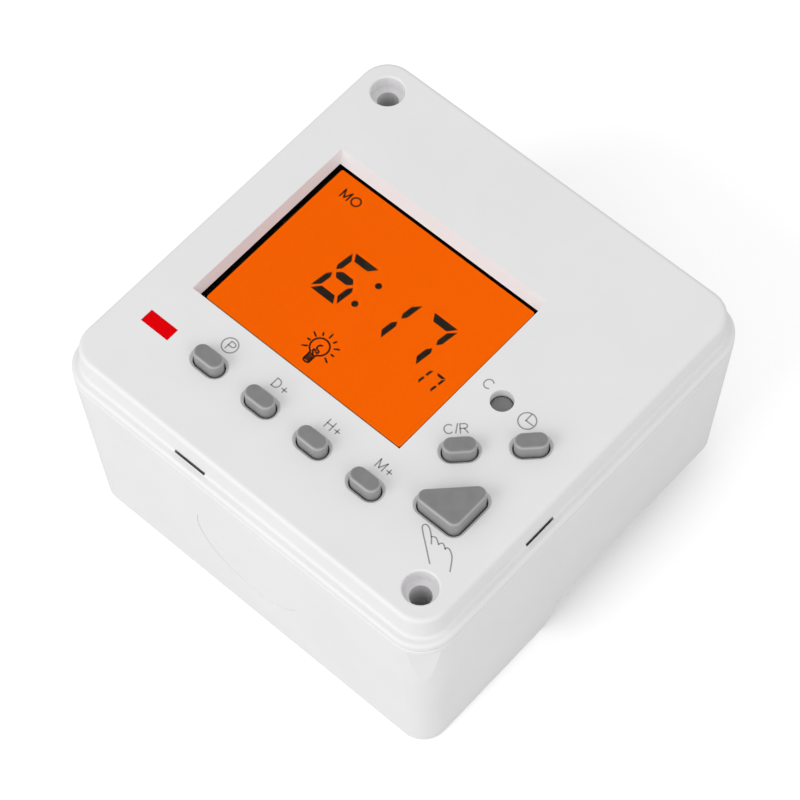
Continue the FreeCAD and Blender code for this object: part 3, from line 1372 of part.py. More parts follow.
def board_link():
    """A small upright riser board that joins the two boards, and the sockets that it stands in."""
    across = ("link_x - riser_width / 2", "link_x + riser_width / 2")
    through = (f"{LINK_Y} - riser_thickness / 2", f"{LINK_Y} + riser_thickness / 2")
    low = f"({POWER_TOP} + socket_height - riser_seat)"
    high = f"({BOARD_BOTTOM} - socket_height + riser_seat)"
    keep(box("Riser", *across, *through, low, high), "riser_board")
    long_sides = ("link_x - socket_length / 2", "link_x + socket_length / 2")
    short_sides = (f"{LINK_Y} - socket_width / 2", f"{LINK_Y} + socket_width / 2")
    lower = box("LowerSocket", *long_sides, *short_sides, POWER_TOP, f"{POWER_TOP} + socket_height")
    upper = box("UpperSocket", *long_sides, *short_sides, f"{BOARD_BOTTOM} - socket_height", BOARD_BOTTOM)
    slot = [f"{across[0]} - running_gap", f"{across[1]} + running_gap"]
    slot += [f"{through[0]} - running_gap", f"{through[1]} + running_gap"]
    gap = box("SocketSlots", *slot, low, high)
    keep(cut("Sockets", group("SocketPair", [lower, upper]), gap), "board_sockets")


def rail_clip():
    """The sliding clip: a nose below the rail's edge, a shoulder behind it and guides at the tail."""
    body = new_body("RailClip")
    nose = f"({RAIL_LOW} + clip_reach)"
    profile = sketch_on(body, "ClipProfile", "YZ_Plane")
    corners = [
        (CLIP_TAIL, "clip_low"),
        (f"{nose} - clip_nose", "clip_low"),
        (nose, "clip_low + clip_nose"),
        (nose, RAIL_GRIP),
        (RAIL_LOW, RAIL_GRIP),
        (RAIL_LOW, CLIP_TOP),
        (CLIP_TAIL, CLIP_TOP),
    ]
    polygon(profile, corners)
    pad(body, "ClipBar", profile, "clip_width", both=True)
    guides = sketch_on(body, "ClipGuides", lift=GUIDE_LOW)
    half = "(clip_width / 2 + clip_guide)"
    rectangle(guides, f"-{half}", half, CLIP_TAIL, f"{CLIP_TAIL} + clip_guide_length")
    pad(body, "ClipGuidePad", guides, "clip_guide_height")
    keep(body, "rail_clip")


def biarc(start, heading, end, last_heading):
    """Two arcs that join two points with given headings."""
    chord = end - start
    both = heading + last_heading
    a = 4 - both.dot(both)
    b = 2 * chord.dot(both)
    reach = (-b + math.sqrt(b * b + 4 * a * chord.dot(chord))) / (2 * a)
    first = start + heading * reach
    second = end - last_heading * reach
    joint = (first + second) / 2
    arcs = []
    for here, corner, there in ((start, first, joint), (joint, second, end)):
        weight = math.cos((corner - here).getAngle(there - corner) / 2)
        arcs.append(Part.Arc(here, (here + corner * 2 * weight + there) / (2 + 2 * weight), there).toShape())
    return arcs


def clip_spring():
    """The clip's coil spring, one unbroken wire from the end of the channel to the clip's tail."""
    wire = number("spring_wire")
    radius = number("spring_radius")
    turns = number("spring_turns")
    low = number(f"{CHANNEL_END} + spring_wire / 2")
    high = number(f"{CLIP_TAIL} - spring_wire / 2 - running_gap")
    axis = number(SPRING_AXIS)
    steps = round(turns * 4)

    def at(turn):
        angle = 2 * math.pi * turn
        along = low + (high - low) * turn / turns
        point = FreeCAD.Vector(radius * math.cos(angle), along, axis + radius * math.sin(angle))
        rise = (high - low) / (2 * math.pi * turns)
        heading = FreeCAD.Vector(-radius * math.sin(angle), rise, radius * math.cos(angle))
        return point, heading.normalize()

    path = []
    for k in range(steps):
        (start, heading), (end, last_heading) = at(turns * k / steps), at(turns * (k + 1) / steps)
        path += biarc(start, heading, end, last_heading)
    spine = Part.Wire(path)
    start, heading = at(0)
    section = Part.Wire([Part.Circle(start, heading, wire / 2).toShape()])
    shell = Part.BRepOffsetAPI.MakePipeShell(spine)
    shell.add(section)
    shell.build()
    shell.makeSolid()
    spring = doc.addObject("Part::Feature", "ClipSpring")
    spring.Shape = shell.shape()
    keep(spring, "rail_clip_spring")

    samples = [at(turns * k / 700)[0] for k in range(701)]
    apart = round(350 / turns)
    gap = min((a - b).Length for k, a in enumerate(samples) for b in samples[k + apart :]) - wire
    print(f"least gap of the spring to itself {gap:.2f} mm")


def build_all():
    rear_housing()
    front_cover()
    keys_and_switches()
    display_stack()
    display_board()
    board_screws()
    indicator()
    display_board_parts()
    power_parts()
    terminals()
    power_board()
    board_link()
    rail_clip()
    clip_spring()


build_all()
doc.recompute()

os.makedirs("parts", exist_ok=True)
for thing in doc.Objects:
    if {"Invalid", "Error"} & set(thing.State):
        raise RuntimeError(f"{thing.Label} did not compute")
for piece in PIECES:
    if piece.Shape.isNull() or not piece.Shape.isValid():
        raise RuntimeError(f"{piece.Label} has no valid shape")
    piece.Shape.exportStep(f"parts/{piece.Label}.step")
    print(piece.Label, len(piece.Shape.Solids), round(piece.Shape.Volume, 1))
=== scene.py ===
# %% [markdown]
# A square digital time switch, lying on its back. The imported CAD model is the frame: its
# nodes keep their shapes, and this script gives them their finishes, prints the legends
# on the face, lights up the display and sets the camera as in the photograph. Blender and
# the frame count in metres. The sizes of the part are written in millimetres, as a maker
# would read them off a ruler, and MM turns them into metres where a mesh or material
# takes them. Only the floor and the lamps are placed in metres.

# %% Load the frame
import json

import bpy
import numpy as np
from mathutils import Matrix, Vector


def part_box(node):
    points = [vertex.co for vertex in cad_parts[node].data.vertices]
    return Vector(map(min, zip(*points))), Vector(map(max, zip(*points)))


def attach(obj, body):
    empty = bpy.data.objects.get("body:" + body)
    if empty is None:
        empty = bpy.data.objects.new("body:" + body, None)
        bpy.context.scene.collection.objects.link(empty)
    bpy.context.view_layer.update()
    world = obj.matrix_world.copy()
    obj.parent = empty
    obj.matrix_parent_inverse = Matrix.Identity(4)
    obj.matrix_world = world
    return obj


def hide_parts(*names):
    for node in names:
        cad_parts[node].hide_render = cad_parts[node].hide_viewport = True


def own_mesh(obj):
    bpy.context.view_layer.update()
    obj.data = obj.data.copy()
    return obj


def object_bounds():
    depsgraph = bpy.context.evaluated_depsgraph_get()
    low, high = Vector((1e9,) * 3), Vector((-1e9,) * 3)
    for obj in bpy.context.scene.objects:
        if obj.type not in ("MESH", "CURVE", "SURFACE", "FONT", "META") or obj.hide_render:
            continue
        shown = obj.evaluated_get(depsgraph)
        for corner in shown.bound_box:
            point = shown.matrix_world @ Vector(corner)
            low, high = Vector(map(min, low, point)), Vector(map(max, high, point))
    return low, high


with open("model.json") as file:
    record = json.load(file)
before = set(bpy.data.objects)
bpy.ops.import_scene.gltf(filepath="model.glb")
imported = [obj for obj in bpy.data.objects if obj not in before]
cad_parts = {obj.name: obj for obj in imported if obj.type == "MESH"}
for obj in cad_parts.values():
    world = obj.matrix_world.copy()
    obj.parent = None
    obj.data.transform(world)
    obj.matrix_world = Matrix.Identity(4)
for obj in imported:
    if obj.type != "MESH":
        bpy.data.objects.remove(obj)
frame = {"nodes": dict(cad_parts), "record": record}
cad_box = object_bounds()
MM = 0.001
cad_size = [round(side / MM, 2) for side in cad_box[1] - cad_box[0]]
print("nodes", len(frame["nodes"]), "box in mm", cad_size)

# %% [markdown]
# A colour is written as the sRGB hex value that the eye reads from the real finish.
# Shaders work in linear light, so one function turns the hex value into linear red,
# green and blue. A material is a small network of nodes. Wiring each node by hand takes
# several lines, so one function adds a node with its settings, values and links.


# %% Colours and nodes
def linear(hex_colour):
    """Linear RGBA of an sRGB hex colour.

    Each channel c becomes ((c + 0.055) / 1.055) to the power 2.4, or c / 12.92 near black.
    """
    srgb = np.array([int(hex_colour[k : k + 2], 16) for k in (1, 3, 5)]) / 255
    light = np.where(srgb <= 0.04045, srgb / 12.92, ((srgb + 0.055) / 1.055) ** 2.4)
    return (*light.tolist(), 1.0)


def add(tree, kind, values=None, links=None, **settings):
    """Add a node with its settings, the values of its sockets and the links into them."""
    made = tree.nodes.new(kind)
    for name, setting in settings.items():
        setattr(made, name, setting)
    for name, value in (values or {}).items():
        made.inputs[name].default_value = value
    for name, source in (links or {}).items():
        tree.links.new(source, made.inputs[name])
    return made


def blank(name):
    """A new material with an empty node tree, and that tree."""
    material = bpy.data.materials.new(name)
    material.use_nodes = True
    material.node_tree.nodes.clear()
    return material, material.node_tree


print("linear white", linear("#FFFFFF"))

# %% [markdown]
# Most parts are moulded or pressed, and such a surface is never quite even: it has the
# grain of the mould, a slightly cloudy colour and patches that are a little glossier. A
# picture wrapped round each part could show that. Noise on Object coordinates needs no
# picture and no unwrapping, and its bumps have a real size. So one function makes this
# skeleton from sizes in millimetres, and each finish below gives its own numbers.


# %% The skeleton of a solid finish
def solid_finish(name, colour, shade, roughness, grain_mm, depth_mm, cloud_mm, **sockets):
    """A material whose colour drifts from one tone to a shade of it, with a grain of its own.

    Noise has one bump per 1 / scale metres, so the scale is 1 divided by the size in metres.
    The colour drifts over the middle of the noise, from 0.3 to 0.7, where most values lie,
    and the roughness by 0.04 either way.
    """
    material, tree = blank(name)
    place = add(tree, "ShaderNodeTexCoord").outputs["Object"]
    cloud = add(
        tree,
        "ShaderNodeTexNoise",
        {"Scale": 1 / (cloud_mm * MM), "Detail": 3.0, "Roughness": 0.55},
        {"Vector": place},
    )
    tone = add(tree, "ShaderNodeValToRGB", links={"Fac": cloud.outputs["Fac"]})
    tone.color_ramp.elements[0].position = 0.3
    tone.color_ramp.elements[0].color = linear(shade)
    tone.color_ramp.elements[1].position = 0.7
    tone.color_ramp.elements[1].color = linear(colour)
    grain = add(
        tree,
        "ShaderNodeTexNoise",
        {"Scale": 1 / (grain_mm * MM), "Detail": 2.0, "Roughness": 0.5},
        {"Vector": place},
    )
    bump = add(
        tree,
        "ShaderNodeBump",
        {"Strength": 0.6, "Distance": depth_mm * MM},
        {"Height": grain.outputs["Fac"]},
    )
    gloss = add(
        tree,
        "ShaderNodeMapRange",
        {"To Min": roughness - 0.04, "To Max": roughness + 0.04},
        {"Value": cloud.outputs["Fac"]},
    )
    shader = add(
        tree,
        "ShaderNodeBsdfPrincipled",
        sockets,
        {
            "Base Color": tone.outputs["Color"],
            "Roughness": gloss.outputs["Result"],
            "Normal": bump.outputs["Normal"],
        },
    )
    add(tree, "ShaderNodeOutputMaterial", links={"Surface": shader.outputs["BSDF"]})
    return material


# %% [markdown]
# The housing and the cover are injection-moulded ABS in a cool white. The mould was
# spark-eroded, which leaves a satin surface with a grain of about a quarter of a
# millimetre. The keys are the same plastic in grey, a little glossier. Their rounded edges,
# and less so their upright walls, get a painted highlight: a lighter grey that stands for
# the sheen of light on them. The edges could be faces with a material of their own. But a
# normal tells where an edge is rounded, so one material that reads it is enough. ABS
# refracts at about 1.53, and more with its pigment.

# %% White and grey ABS
white_abs = solid_finish(
    "moulded white ABS", "#EBEAEB", "#E8E7E8", 0.46,
    grain_mm=0.28, depth_mm=0.005, cloud_mm=14.0, IOR=1.53,
)
grey_abs = solid_finish(
    "moulded grey ABS keys", "#7F7F80", "#777778", 0.38,
    grain_mm=0.22, depth_mm=0.01, cloud_mm=2.4, IOR=1.56,
)
clip_pom = solid_finish(
    "moulded grey acetal clip", "#B9B9B7", "#AFAFAD", 0.36,
    grain_mm=0.4, depth_mm=0.004, cloud_mm=5.0, IOR=1.48,
)
black_abs = solid_finish(
    "moulded black ABS", "#1C1C1E", "#141416", 0.5,
    grain_mm=0.25, depth_mm=0.01, cloud_mm=3.0, IOR=1.53,
)


def paint_edge_highlight(material, highlight_colour, highlight_on_walls):
    """Paint a highlight on rounded edges: blend the colour towards a lighter one where the normal's z
    is about a half.

    The share of the painted highlight rises from 0 on the level top to 1 on the edge and ends at
    the given share on the upright walls, where it is a fainter painted sheen.
    """
    tree = material.node_tree
    shader = next(node for node in tree.nodes if node.type == "BSDF_PRINCIPLED")
    top = shader.inputs["Base Color"].links[0].from_socket
    normal = add(tree, "ShaderNodeTexCoord").outputs["Normal"]
    upright = add(tree, "ShaderNodeSeparateXYZ", links={"Vector": normal})
    share = add(tree, "ShaderNodeValToRGB", links={"Fac": upright.outputs["Z"]})
    ramp = share.color_ramp
    ramp.interpolation = "EASE"
    ramp.elements[0].color = (highlight_on_walls, highlight_on_walls, highlight_on_walls, 1.0)
    ramp.elements[1].color = (0.0, 0.0, 0.0, 1.0)
    ramp.elements.new(0.55).color = (1.0, 1.0, 1.0, 1.0)
    blend = add(tree, "ShaderNodeMix", data_type="RGBA")
    tree.links.new(share.outputs["Color"], blend.inputs["Factor"])
    tree.links.new(top, blend.inputs["A"])
    blend.inputs["B"].default_value = linear(highlight_colour)
    tree.links.new(blend.outputs["Result"], shader.inputs["Base Color"])


# The keys' rounded edges and walls get a painted highlight, a lighter grey for the sheen of light on
# them.
paint_edge_highlight(grey_abs, "#AAAAAB", 0.45)
print("plastics", [material.name for material in bpy.data.materials if "moulded" in material.name])

# %% [markdown]
# Behind the window lies the display: a sandwich of glass with dark polarisers, which
# looks black where it isn't lit. The window itself is a clear acrylic plate, 1 mm thick.
# Its coating cuts the reflections to about a thousandth, as an index of 1.08 does, so the
# display is seen through it without glare. The indicator is a block of red acrylic that
# glows from the lamp under it. One even gloss could do for them all, but it would look
# computed. So they have hair-fine wiping marks, which show only in their gloss.


# %% Clear and lit finishes
def clear_finish(name, colour, roughness, scratch_mm, **sockets):
    """A polished plastic with wiping marks along X, where its roughness is higher by 0.03.

    Y is stretched 14 times before the noise is read, so a mark is 14 times as long as wide.
    """
    material, tree = blank(name)
    place = add(tree, "ShaderNodeTexCoord").outputs["Object"]
    streaks = add(tree, "ShaderNodeMapping", {"Scale": (1.0, 14.0, 1.0)}, {"Vector": place})
    marks = add(
        tree,
        "ShaderNodeTexNoise",
        {"Scale": 1 / (scratch_mm * MM), "Detail": 4.0},
        {"Vector": streaks.outputs["Vector"]},
    )
    wiped = add(
        tree,
        "ShaderNodeMapRange",
        {"From Min": 0.55, "From Max": 0.8, "To Min": roughness, "To Max": roughness + 0.03},
        {"Value": marks.outputs["Fac"]},
    )
    values = {"Base Color": linear(colour), **sockets}
    shader = add(tree, "ShaderNodeBsdfPrincipled", values, {"Roughness": wiped.outputs["Result"]})
    add(tree, "ShaderNodeOutputMaterial", links={"Surface": shader.outputs["BSDF"]})
    return material


acrylic_window = clear_finish(
    "coated clear acrylic", "#FFFFFF", 0.01, 6.0,
    **{"IOR": 1.08, "Transmission Weight": 1.0},
)
red_acrylic = clear_finish(
    "red acrylic, lit", "#C00005", 0.12, 3.0,
    **{
        "IOR": 1.49,
        "Specular IOR Level": 0.02,
        "Emission Color": linear("#E50006"),
        "Emission Strength": 0.3,
    },
)
display_glass = clear_finish(
    "display glass over black polariser", "#060505", 0.06, 8.0,
    **{"IOR": 1.52, "Specular IOR Level": 0.03},
)
light_guide = clear_finish(
    "polished orange acrylic", "#F59A4A", 0.05, 5.0,
    **{"IOR": 1.49, "Transmission Weight": 0.6},
)
amber_epoxy = clear_finish(
    "amber lamp epoxy", "#F7C465", 0.08, 2.0,
    **{"IOR": 1.55, "Transmission Weight": 0.4},
)
print("clear finishes", [acrylic_window.name, red_acrylic.name, display_glass.name])

# %% [markdown]
# Inside there are zinc-plated screws, a drawn spring, bright tabs and an aluminium can.
# Drawing, rolling or turning leaves fine lines on a metal. An anisotropic gloss could
# hint at them. Noise that is stretched along the way that the metal was worked shows them
# one by one, and it sets the tone, the bump and the gloss together, as the lines do on
# the real metal. Metals keep the default IOR.


# %% Metals
def metal_finish(name, colour, shade, roughness, streak_mm, stretch, bump_mm):
    """A metal with streaks: an axis with a larger factor in stretch has narrower ones.

    The roughness runs from 0.06 under its given value in one streak to 0.08 over it in another.
    """
    material, tree = blank(name)
    place = add(tree, "ShaderNodeTexCoord").outputs["Object"]
    drawn = add(tree, "ShaderNodeMapping", {"Scale": stretch}, {"Vector": place})
    streaks = add(
        tree,
        "ShaderNodeTexNoise",
        {"Scale": 1 / (streak_mm * MM), "Detail": 5.0, "Roughness": 0.6},
        {"Vector": drawn.outputs["Vector"]},
    )
    tone = add(tree, "ShaderNodeValToRGB", links={"Fac": streaks.outputs["Fac"]})
    tone.color_ramp.elements[0].position = 0.35
    tone.color_ramp.elements[0].color = linear(shade)
    tone.color_ramp.elements[1].position = 0.65
    tone.color_ramp.elements[1].color = linear(colour)
    bump = add(
        tree,
        "ShaderNodeBump",
        {"Strength": 0.5, "Distance": bump_mm * MM},
        {"Height": streaks.outputs["Fac"]},
    )
    gloss = add(
        tree,
        "ShaderNodeMapRange",
        {"To Min": roughness - 0.06, "To Max": roughness + 0.08},
        {"Value": streaks.outputs["Fac"]},
    )
    shader = add(
        tree,
        "ShaderNodeBsdfPrincipled",
        {"Metallic": 1.0},
        {
            "Base Color": tone.outputs["Color"],
            "Roughness": gloss.outputs["Result"],
            "Normal": bump.outputs["Normal"],
        },
    )
    add(tree, "ShaderNodeOutputMaterial", links={"Surface": shader.outputs["BSDF"]})
    return material


zinc_plate = metal_finish(
    "zinc plate, turned", "#C9CBCC", "#AEB0B2", 0.32,
    streak_mm=0.3, stretch=(1.0, 1.0, 6.0), bump_mm=0.004,
)
spring_steel = metal_finish(
    "drawn spring steel", "#A9ABAE", "#85878B", 0.28,
    streak_mm=0.15, stretch=(6.0, 1.0, 6.0), bump_mm=0.003,
)
bright_tab = metal_finish(
    "rolled bright steel", "#D0D1D2", "#BCBDBF", 0.24,
    streak_mm=0.4, stretch=(1.0, 8.0, 8.0), bump_mm=0.002,
)
brass = metal_finish(
    "pressed brass", "#D2B36A", "#B6954D", 0.3,
    streak_mm=0.4, stretch=(6.0, 1.0, 6.0), bump_mm=0.003,
)
aluminium = metal_finish(
    "drawn aluminium can", "#D7D8DA", "#C3C5C8", 0.3,
    streak_mm=0.35, stretch=(8.0, 8.0, 1.0), bump_mm=0.003,
)
print("metals", [zinc_plate.name, spring_steel.name, bright_tab.name, brass.name, aluminium.name])

# %% [markdown]
# The other parts inside are a board with green solder resist over its glass weave, and
# components in their usual coats: shrink sleeve, epoxy, polyester film, nylon, ceramic
# and silicone rubber. Few of them show, through gaps and in the exploded model, but each
# has the finish of the real one. Each could have a network of its own. They are all
# moulded, dipped or coated solids, so the skeleton serves them, with their own numbers.

# %% Board and components
solder_resist = solid_finish(
    "green solder resist", "#1E6B3F", "#175833", 0.3,
    grain_mm=0.5, depth_mm=0.01, cloud_mm=3.5, IOR=1.55,
)
blue_sleeve = solid_finish(
    "blue shrink sleeve", "#2C4E86", "#233F6E", 0.35,
    grain_mm=0.8, depth_mm=0.008, cloud_mm=4.0, IOR=1.53,
)
blue_case = solid_finish(
    "blue epoxy case", "#2F6FB5", "#2863A5", 0.4,
    grain_mm=0.3, depth_mm=0.008, cloud_mm=5.0, IOR=1.55,
)
yellow_case = solid_finish(
    "yellow polyester case", "#DDBB3C", "#CFAC30", 0.38,
    grain_mm=0.4, depth_mm=0.006, cloud_mm=5.0, IOR=1.55,
)
green_nylon = solid_finish(
    "green nylon terminal", "#3E9A57", "#358A4C", 0.45,
    grain_mm=0.3, depth_mm=0.008, cloud_mm=4.0, IOR=1.53,
)
brown_case = solid_finish(
    "brown fuse cap", "#5A3A28", "#4C2F1F", 0.42,
    grain_mm=0.3, depth_mm=0.006, cloud_mm=3.0, IOR=1.53,
)
ceramic = solid_finish(
    "cream resistor ceramic", "#D9CBB0", "#CBBB9D", 0.6,
    grain_mm=0.18, depth_mm=0.012, cloud_mm=1.5, IOR=1.6,
)
grey_rubber = solid_finish(
    "grey silicone rubber", "#6E6E72", "#626266", 0.7,
    grain_mm=0.3, depth_mm=0.01, cloud_mm=2.0, IOR=1.41,
)
print("materials", len(bpy.data.materials))

# %% [markdown]
# The record names a slot for every CAD node, such as white_case or grey_key. Finishes
# could be given node by node. Giving one to each slot is shorter, and parts that are
# made of the same stuff then always look alike.

# %% Give every CAD node its finish
FINISHES = {
    "white_case": white_abs,
    "grey_key": grey_abs,
    "clear_window": acrylic_window,
    "display_glass": display_glass,
    "grey_rubber": grey_rubber,
    "orange_light_guide": light_guide,
    "amber_led": amber_epoxy,
    "red_window": red_acrylic,
    "black_plastic": black_abs,
    "circuit_board": solder_resist,
    "bright_steel": bright_tab,
    "plated_screw": zinc_plate,
    "spring_steel": spring_steel,
    "brass": brass,
    "aluminium_can": aluminium,
    "blue_sleeve": blue_sleeve,
    "blue_plastic": blue_case,
    "yellow_plastic": yellow_case,
    "green_plastic": green_nylon,
    "brown_plastic": brown_case,
    "ceramic_body": ceramic,
    "grey_clip": clip_pom,
}
for subpart in frame["record"]["subparts"]:
    for material_slot in frame["nodes"][subpart["node"]].material_slots:
        material_slot.material = FINISHES[subpart["material_slot"]]

# %% [markdown]
# The marks on the display and on the face are flat shapes a few hundredths of a
# millimetre thick. A material could paint them, but a coarse texture would blur their
# edges, and a shape stays sharp at any distance. Most of them are strokes: a low box
# profile carried along a path, with round ends, as a pen leaves it. A curve with a bevel
# could do that too. Worked out as whole arrays, the profile keeps its exact width and
# height, and its round ends cost only a few points.

# %% Strokes
END_TURNS = np.radians([88.0, 60.0, 35.0, 15.0])


def swept_faces(rings, sides, closed):
    """Quads between neighbouring rings of a swept profile.

    A closed sweep joins its last ring to its first, and an open one gets a cap at each end.
    """
    starts = np.arange(rings if closed else rings - 1)[:, None] * sides
    after = (starts + sides) % (rings * sides)
    here = np.arange(sides)[None, :]
    there = (here + 1) % sides
    corners = [starts + here, starts + there, after + there, after + here]
    faces = np.stack(corners, axis=2).reshape(-1, 4).tolist()
    if not closed:
        first_ring = list(range(sides))
        last_ring = [(rings - 1) * sides + k for k in first_ring]
        faces += [first_ring[::-1], last_ring]
    return faces


def stroke(points, width, low, high, closed=False):
    """A box profile carried along a path.

    At each point it is set across the mean of the directions before and after it. At an
    open end the half width follows r cos(a) while the profile moves on by r sin(a), which
    gives the end its round shape.
    """
    path = np.array(points, dtype=float)
    ahead = np.roll(path, -1, axis=0) - path
    if not closed:
        ahead[-1] = ahead[-2]
    ahead /= np.linalg.norm(ahead, axis=1, keepdims=True)
    behind = np.roll(ahead, 1, axis=0)
    if not closed:
        behind[0] = ahead[0]
    across = np.stack([-(ahead + behind)[:, 1], (ahead + behind)[:, 0]], axis=1)
    across /= 1 + np.sum(ahead * behind, axis=1, keepdims=True)
    half = np.full(len(path), width / 2)
    if not closed:
        reach = (width / 2 * np.sin(END_TURNS))[:, None]
        narrow = width / 2 * np.cos(END_TURNS)
        copies = (len(END_TURNS), 1)
        path = np.concatenate([path[0] - ahead[0] * reach, path, path[-1] + behind[-1] * reach[::-1]])
        across = np.concatenate([np.tile(across[0], copies), across, np.tile(across[-1], copies)])
        half = np.concatenate([narrow, half, narrow[::-1]])
    left = path + across * half[:, None]
    right = path - across * half[:, None]
    levels = np.ones((len(path), 1))
    rings = np.stack(
        [
            np.hstack([left, levels * low]),
            np.hstack([left, levels * high]),
            np.hstack([right, levels * high]),
            np.hstack([right, levels * low]),
        ],
        axis=1,
    )
    return rings.reshape(-1, 3), swept_faces(len(rings), rings.shape[1], closed)


print("a round end has", len(END_TURNS), "rings")

# %% [markdown]
# The segments and the lit field are plates: an outline raised from one level to another,
# as if it were punched from a thin sheet. A boolean or an extruded curve could make them.
# An outline of straight lines and arcs is exact and needs few points, so it is raised
# here directly. One more function joins such parts into a mesh, dresses it and lets it
# ride on a body of the model.


# %% Plates, arcs and pieces
def plate(outline, low, high):
    """An anticlockwise outline raised from one level to another, with its top and bottom closed."""
    corners = np.array(outline, dtype=float)
    count = len(corners)
    verts = np.concatenate([np.hstack([corners, np.full((count, 1), level)]) for level in (low, high)])
    near = np.arange(count)
    far = (near + 1) % count
    walls = np.stack([near, far, far + count, near + count], axis=1).tolist()
    return verts, [list(range(count))[::-1], list(range(count, 2 * count)), *walls]


def arc(x, y, radius, start, end, count, tall=None):
    """Points (x + r cos(a), y + t sin(a)) from one angle to another, in degrees.

    The height t of the arc is its radius r unless it is given.
    """
    angle = np.radians(np.linspace(start, end, count))
    return np.stack([x + radius * np.cos(angle), y + (tall or radius) * np.sin(angle)], axis=1)


def circle(x, y, radius, count):
    """An arc all the way round, whose last point stops one step short of the first."""
    return arc(x, y, radius, 0, 360 - 360 / count, count)


def piece(name, parts, body, material):
    """Join parts given in mm into one mesh in metres, which rides on a body."""
    verts = np.concatenate([part[0] for part in parts]) * MM
    offsets = np.cumsum([0] + [len(part[0]) for part in parts])
    faces = [
        [index + int(offset) for index in face]
        for part, offset in zip(parts, offsets)
        for face in part[1]
    ]
    mesh = bpy.data.meshes.new(name)
    mesh.from_pydata(verts.tolist(), [], faces)
    mesh.validate()
    mesh.materials.append(material)
    made = bpy.data.objects.new(name, mesh)
    bpy.context.scene.collection.objects.link(made)
    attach(made, body)
    print(name, len(mesh.vertices), "points", len(mesh.polygons), "faces")
    return made


print("a circle of 24 points has steps of", 360 / 24, "degrees")

# %% [markdown]
# The display is a stack: the glass, the lit film on it, the segments on the film and the
# window over them all. Each level could be typed in as a number. Worked out from the
# glass node instead, the stack stays where the CAD puts the glass, and the room that is
# left under the window tells that nothing touches it.

# %% Levels of the display
FILM_LIFT = 0.02
FILM_THICKNESS = 0.1
INK_THICKNESS = 0.04
GLASS_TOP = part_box("lcd_glass")[1].z / MM
LENS_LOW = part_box("window_lens")[0].z / MM
FILM_LOW = GLASS_TOP + FILM_LIFT
FILM_HIGH = FILM_LOW + FILM_THICKNESS
INK_HIGH = FILM_HIGH + INK_THICKNESS
print("room between the segments and the window", round(LENS_LOW - INK_HIGH, 2), "mm")

# %% [markdown]
# The lit field of the display is a little smaller than the window, which leaves the thin
# black edge that the real one shows all round. Lamps behind the glass could light it, but
# their rays would have to find a way through several thin layers, and the picture would
# stay grainy. So the film glows by itself, a touch brighter on the right, where the two
# lamps shine into the light guide. The emission is written as the colour that the eye
# reads.

# %% The lit field
FILM_LEFT = -31.57
FILM_RIGHT = 13.65
FILM_BOTTOM = -16.38
FILM_TOP = 18.98
FILM_CORNER = 0.4
QUARTER_POINTS = 7


def lit_film():
    """Emission of one colour, a touch brighter towards the lamps on the right.

    The share of the brighter tone is (x - left) / (right - left) across the film.
    """
    material, tree = blank("backlit orange film")
    place = add(tree, "ShaderNodeTexCoord").outputs["Object"]
    to_left_end = (-FILM_LEFT * MM, 0.0, 0.0)
    from_left = add(tree, "ShaderNodeMapping", {"Location": to_left_end}, {"Vector": place})
    spread = add(tree, "ShaderNodeSeparateXYZ", links={"Vector": from_left.outputs["Vector"]})
    along = add(
        tree,
        "ShaderNodeMapRange",
        {"From Max": (FILM_RIGHT - FILM_LEFT) * MM},
        {"Value": spread.outputs["X"]},
    )
    glow = add(tree, "ShaderNodeValToRGB", links={"Fac": along.outputs["Result"]})
    glow.color_ramp.elements[0].color = linear("#F35F00")
    glow.color_ramp.elements[1].color = linear("#F56100")
    shader = add(
        tree,
        "ShaderNodeBsdfPrincipled",
        {
            "Base Color": linear("#000000"),
            "Roughness": 0.6,
            "Specular IOR Level": 0.0,
            "Emission Strength": 1.0,
        },
        {"Emission Color": glow.outputs["Color"]},
    )
    add(tree, "ShaderNodeOutputMaterial", links={"Surface": shader.outputs["BSDF"]})
    return material


def rounded(left, right, bottom, top, radius):
    """An anticlockwise rectangle, each corner a quarter circle about the point a radius inwards."""
    centres = [
        (right - radius, top - radius),
        (left + radius, top - radius),
        (left + radius, bottom + radius),
        (right - radius, bottom + radius),
    ]
    return np.concatenate(
        [arc(x, y, radius, 90 * k, 90 * (k + 1), QUARTER_POINTS) for k, (x, y) in enumerate(centres)]
    )


film_outline = rounded(FILM_LEFT, FILM_RIGHT, FILM_BOTTOM, FILM_TOP, FILM_CORNER)
piece("lcd_film", [plate(film_outline, FILM_LOW, FILM_HIGH)], "case", lit_film())

# %% [markdown]
# A digit has seven segments in a cell, named a to g, of which some are lit. A font would
# bring other shapes than the real display has, so the outlines follow from five sizes:
# the cell's width and height, the thickness of the level bars, that of the upright posts,
# and the clear gap between them. A sixth number says how far the posts are mitred half
# way up, as a share of their thickness.


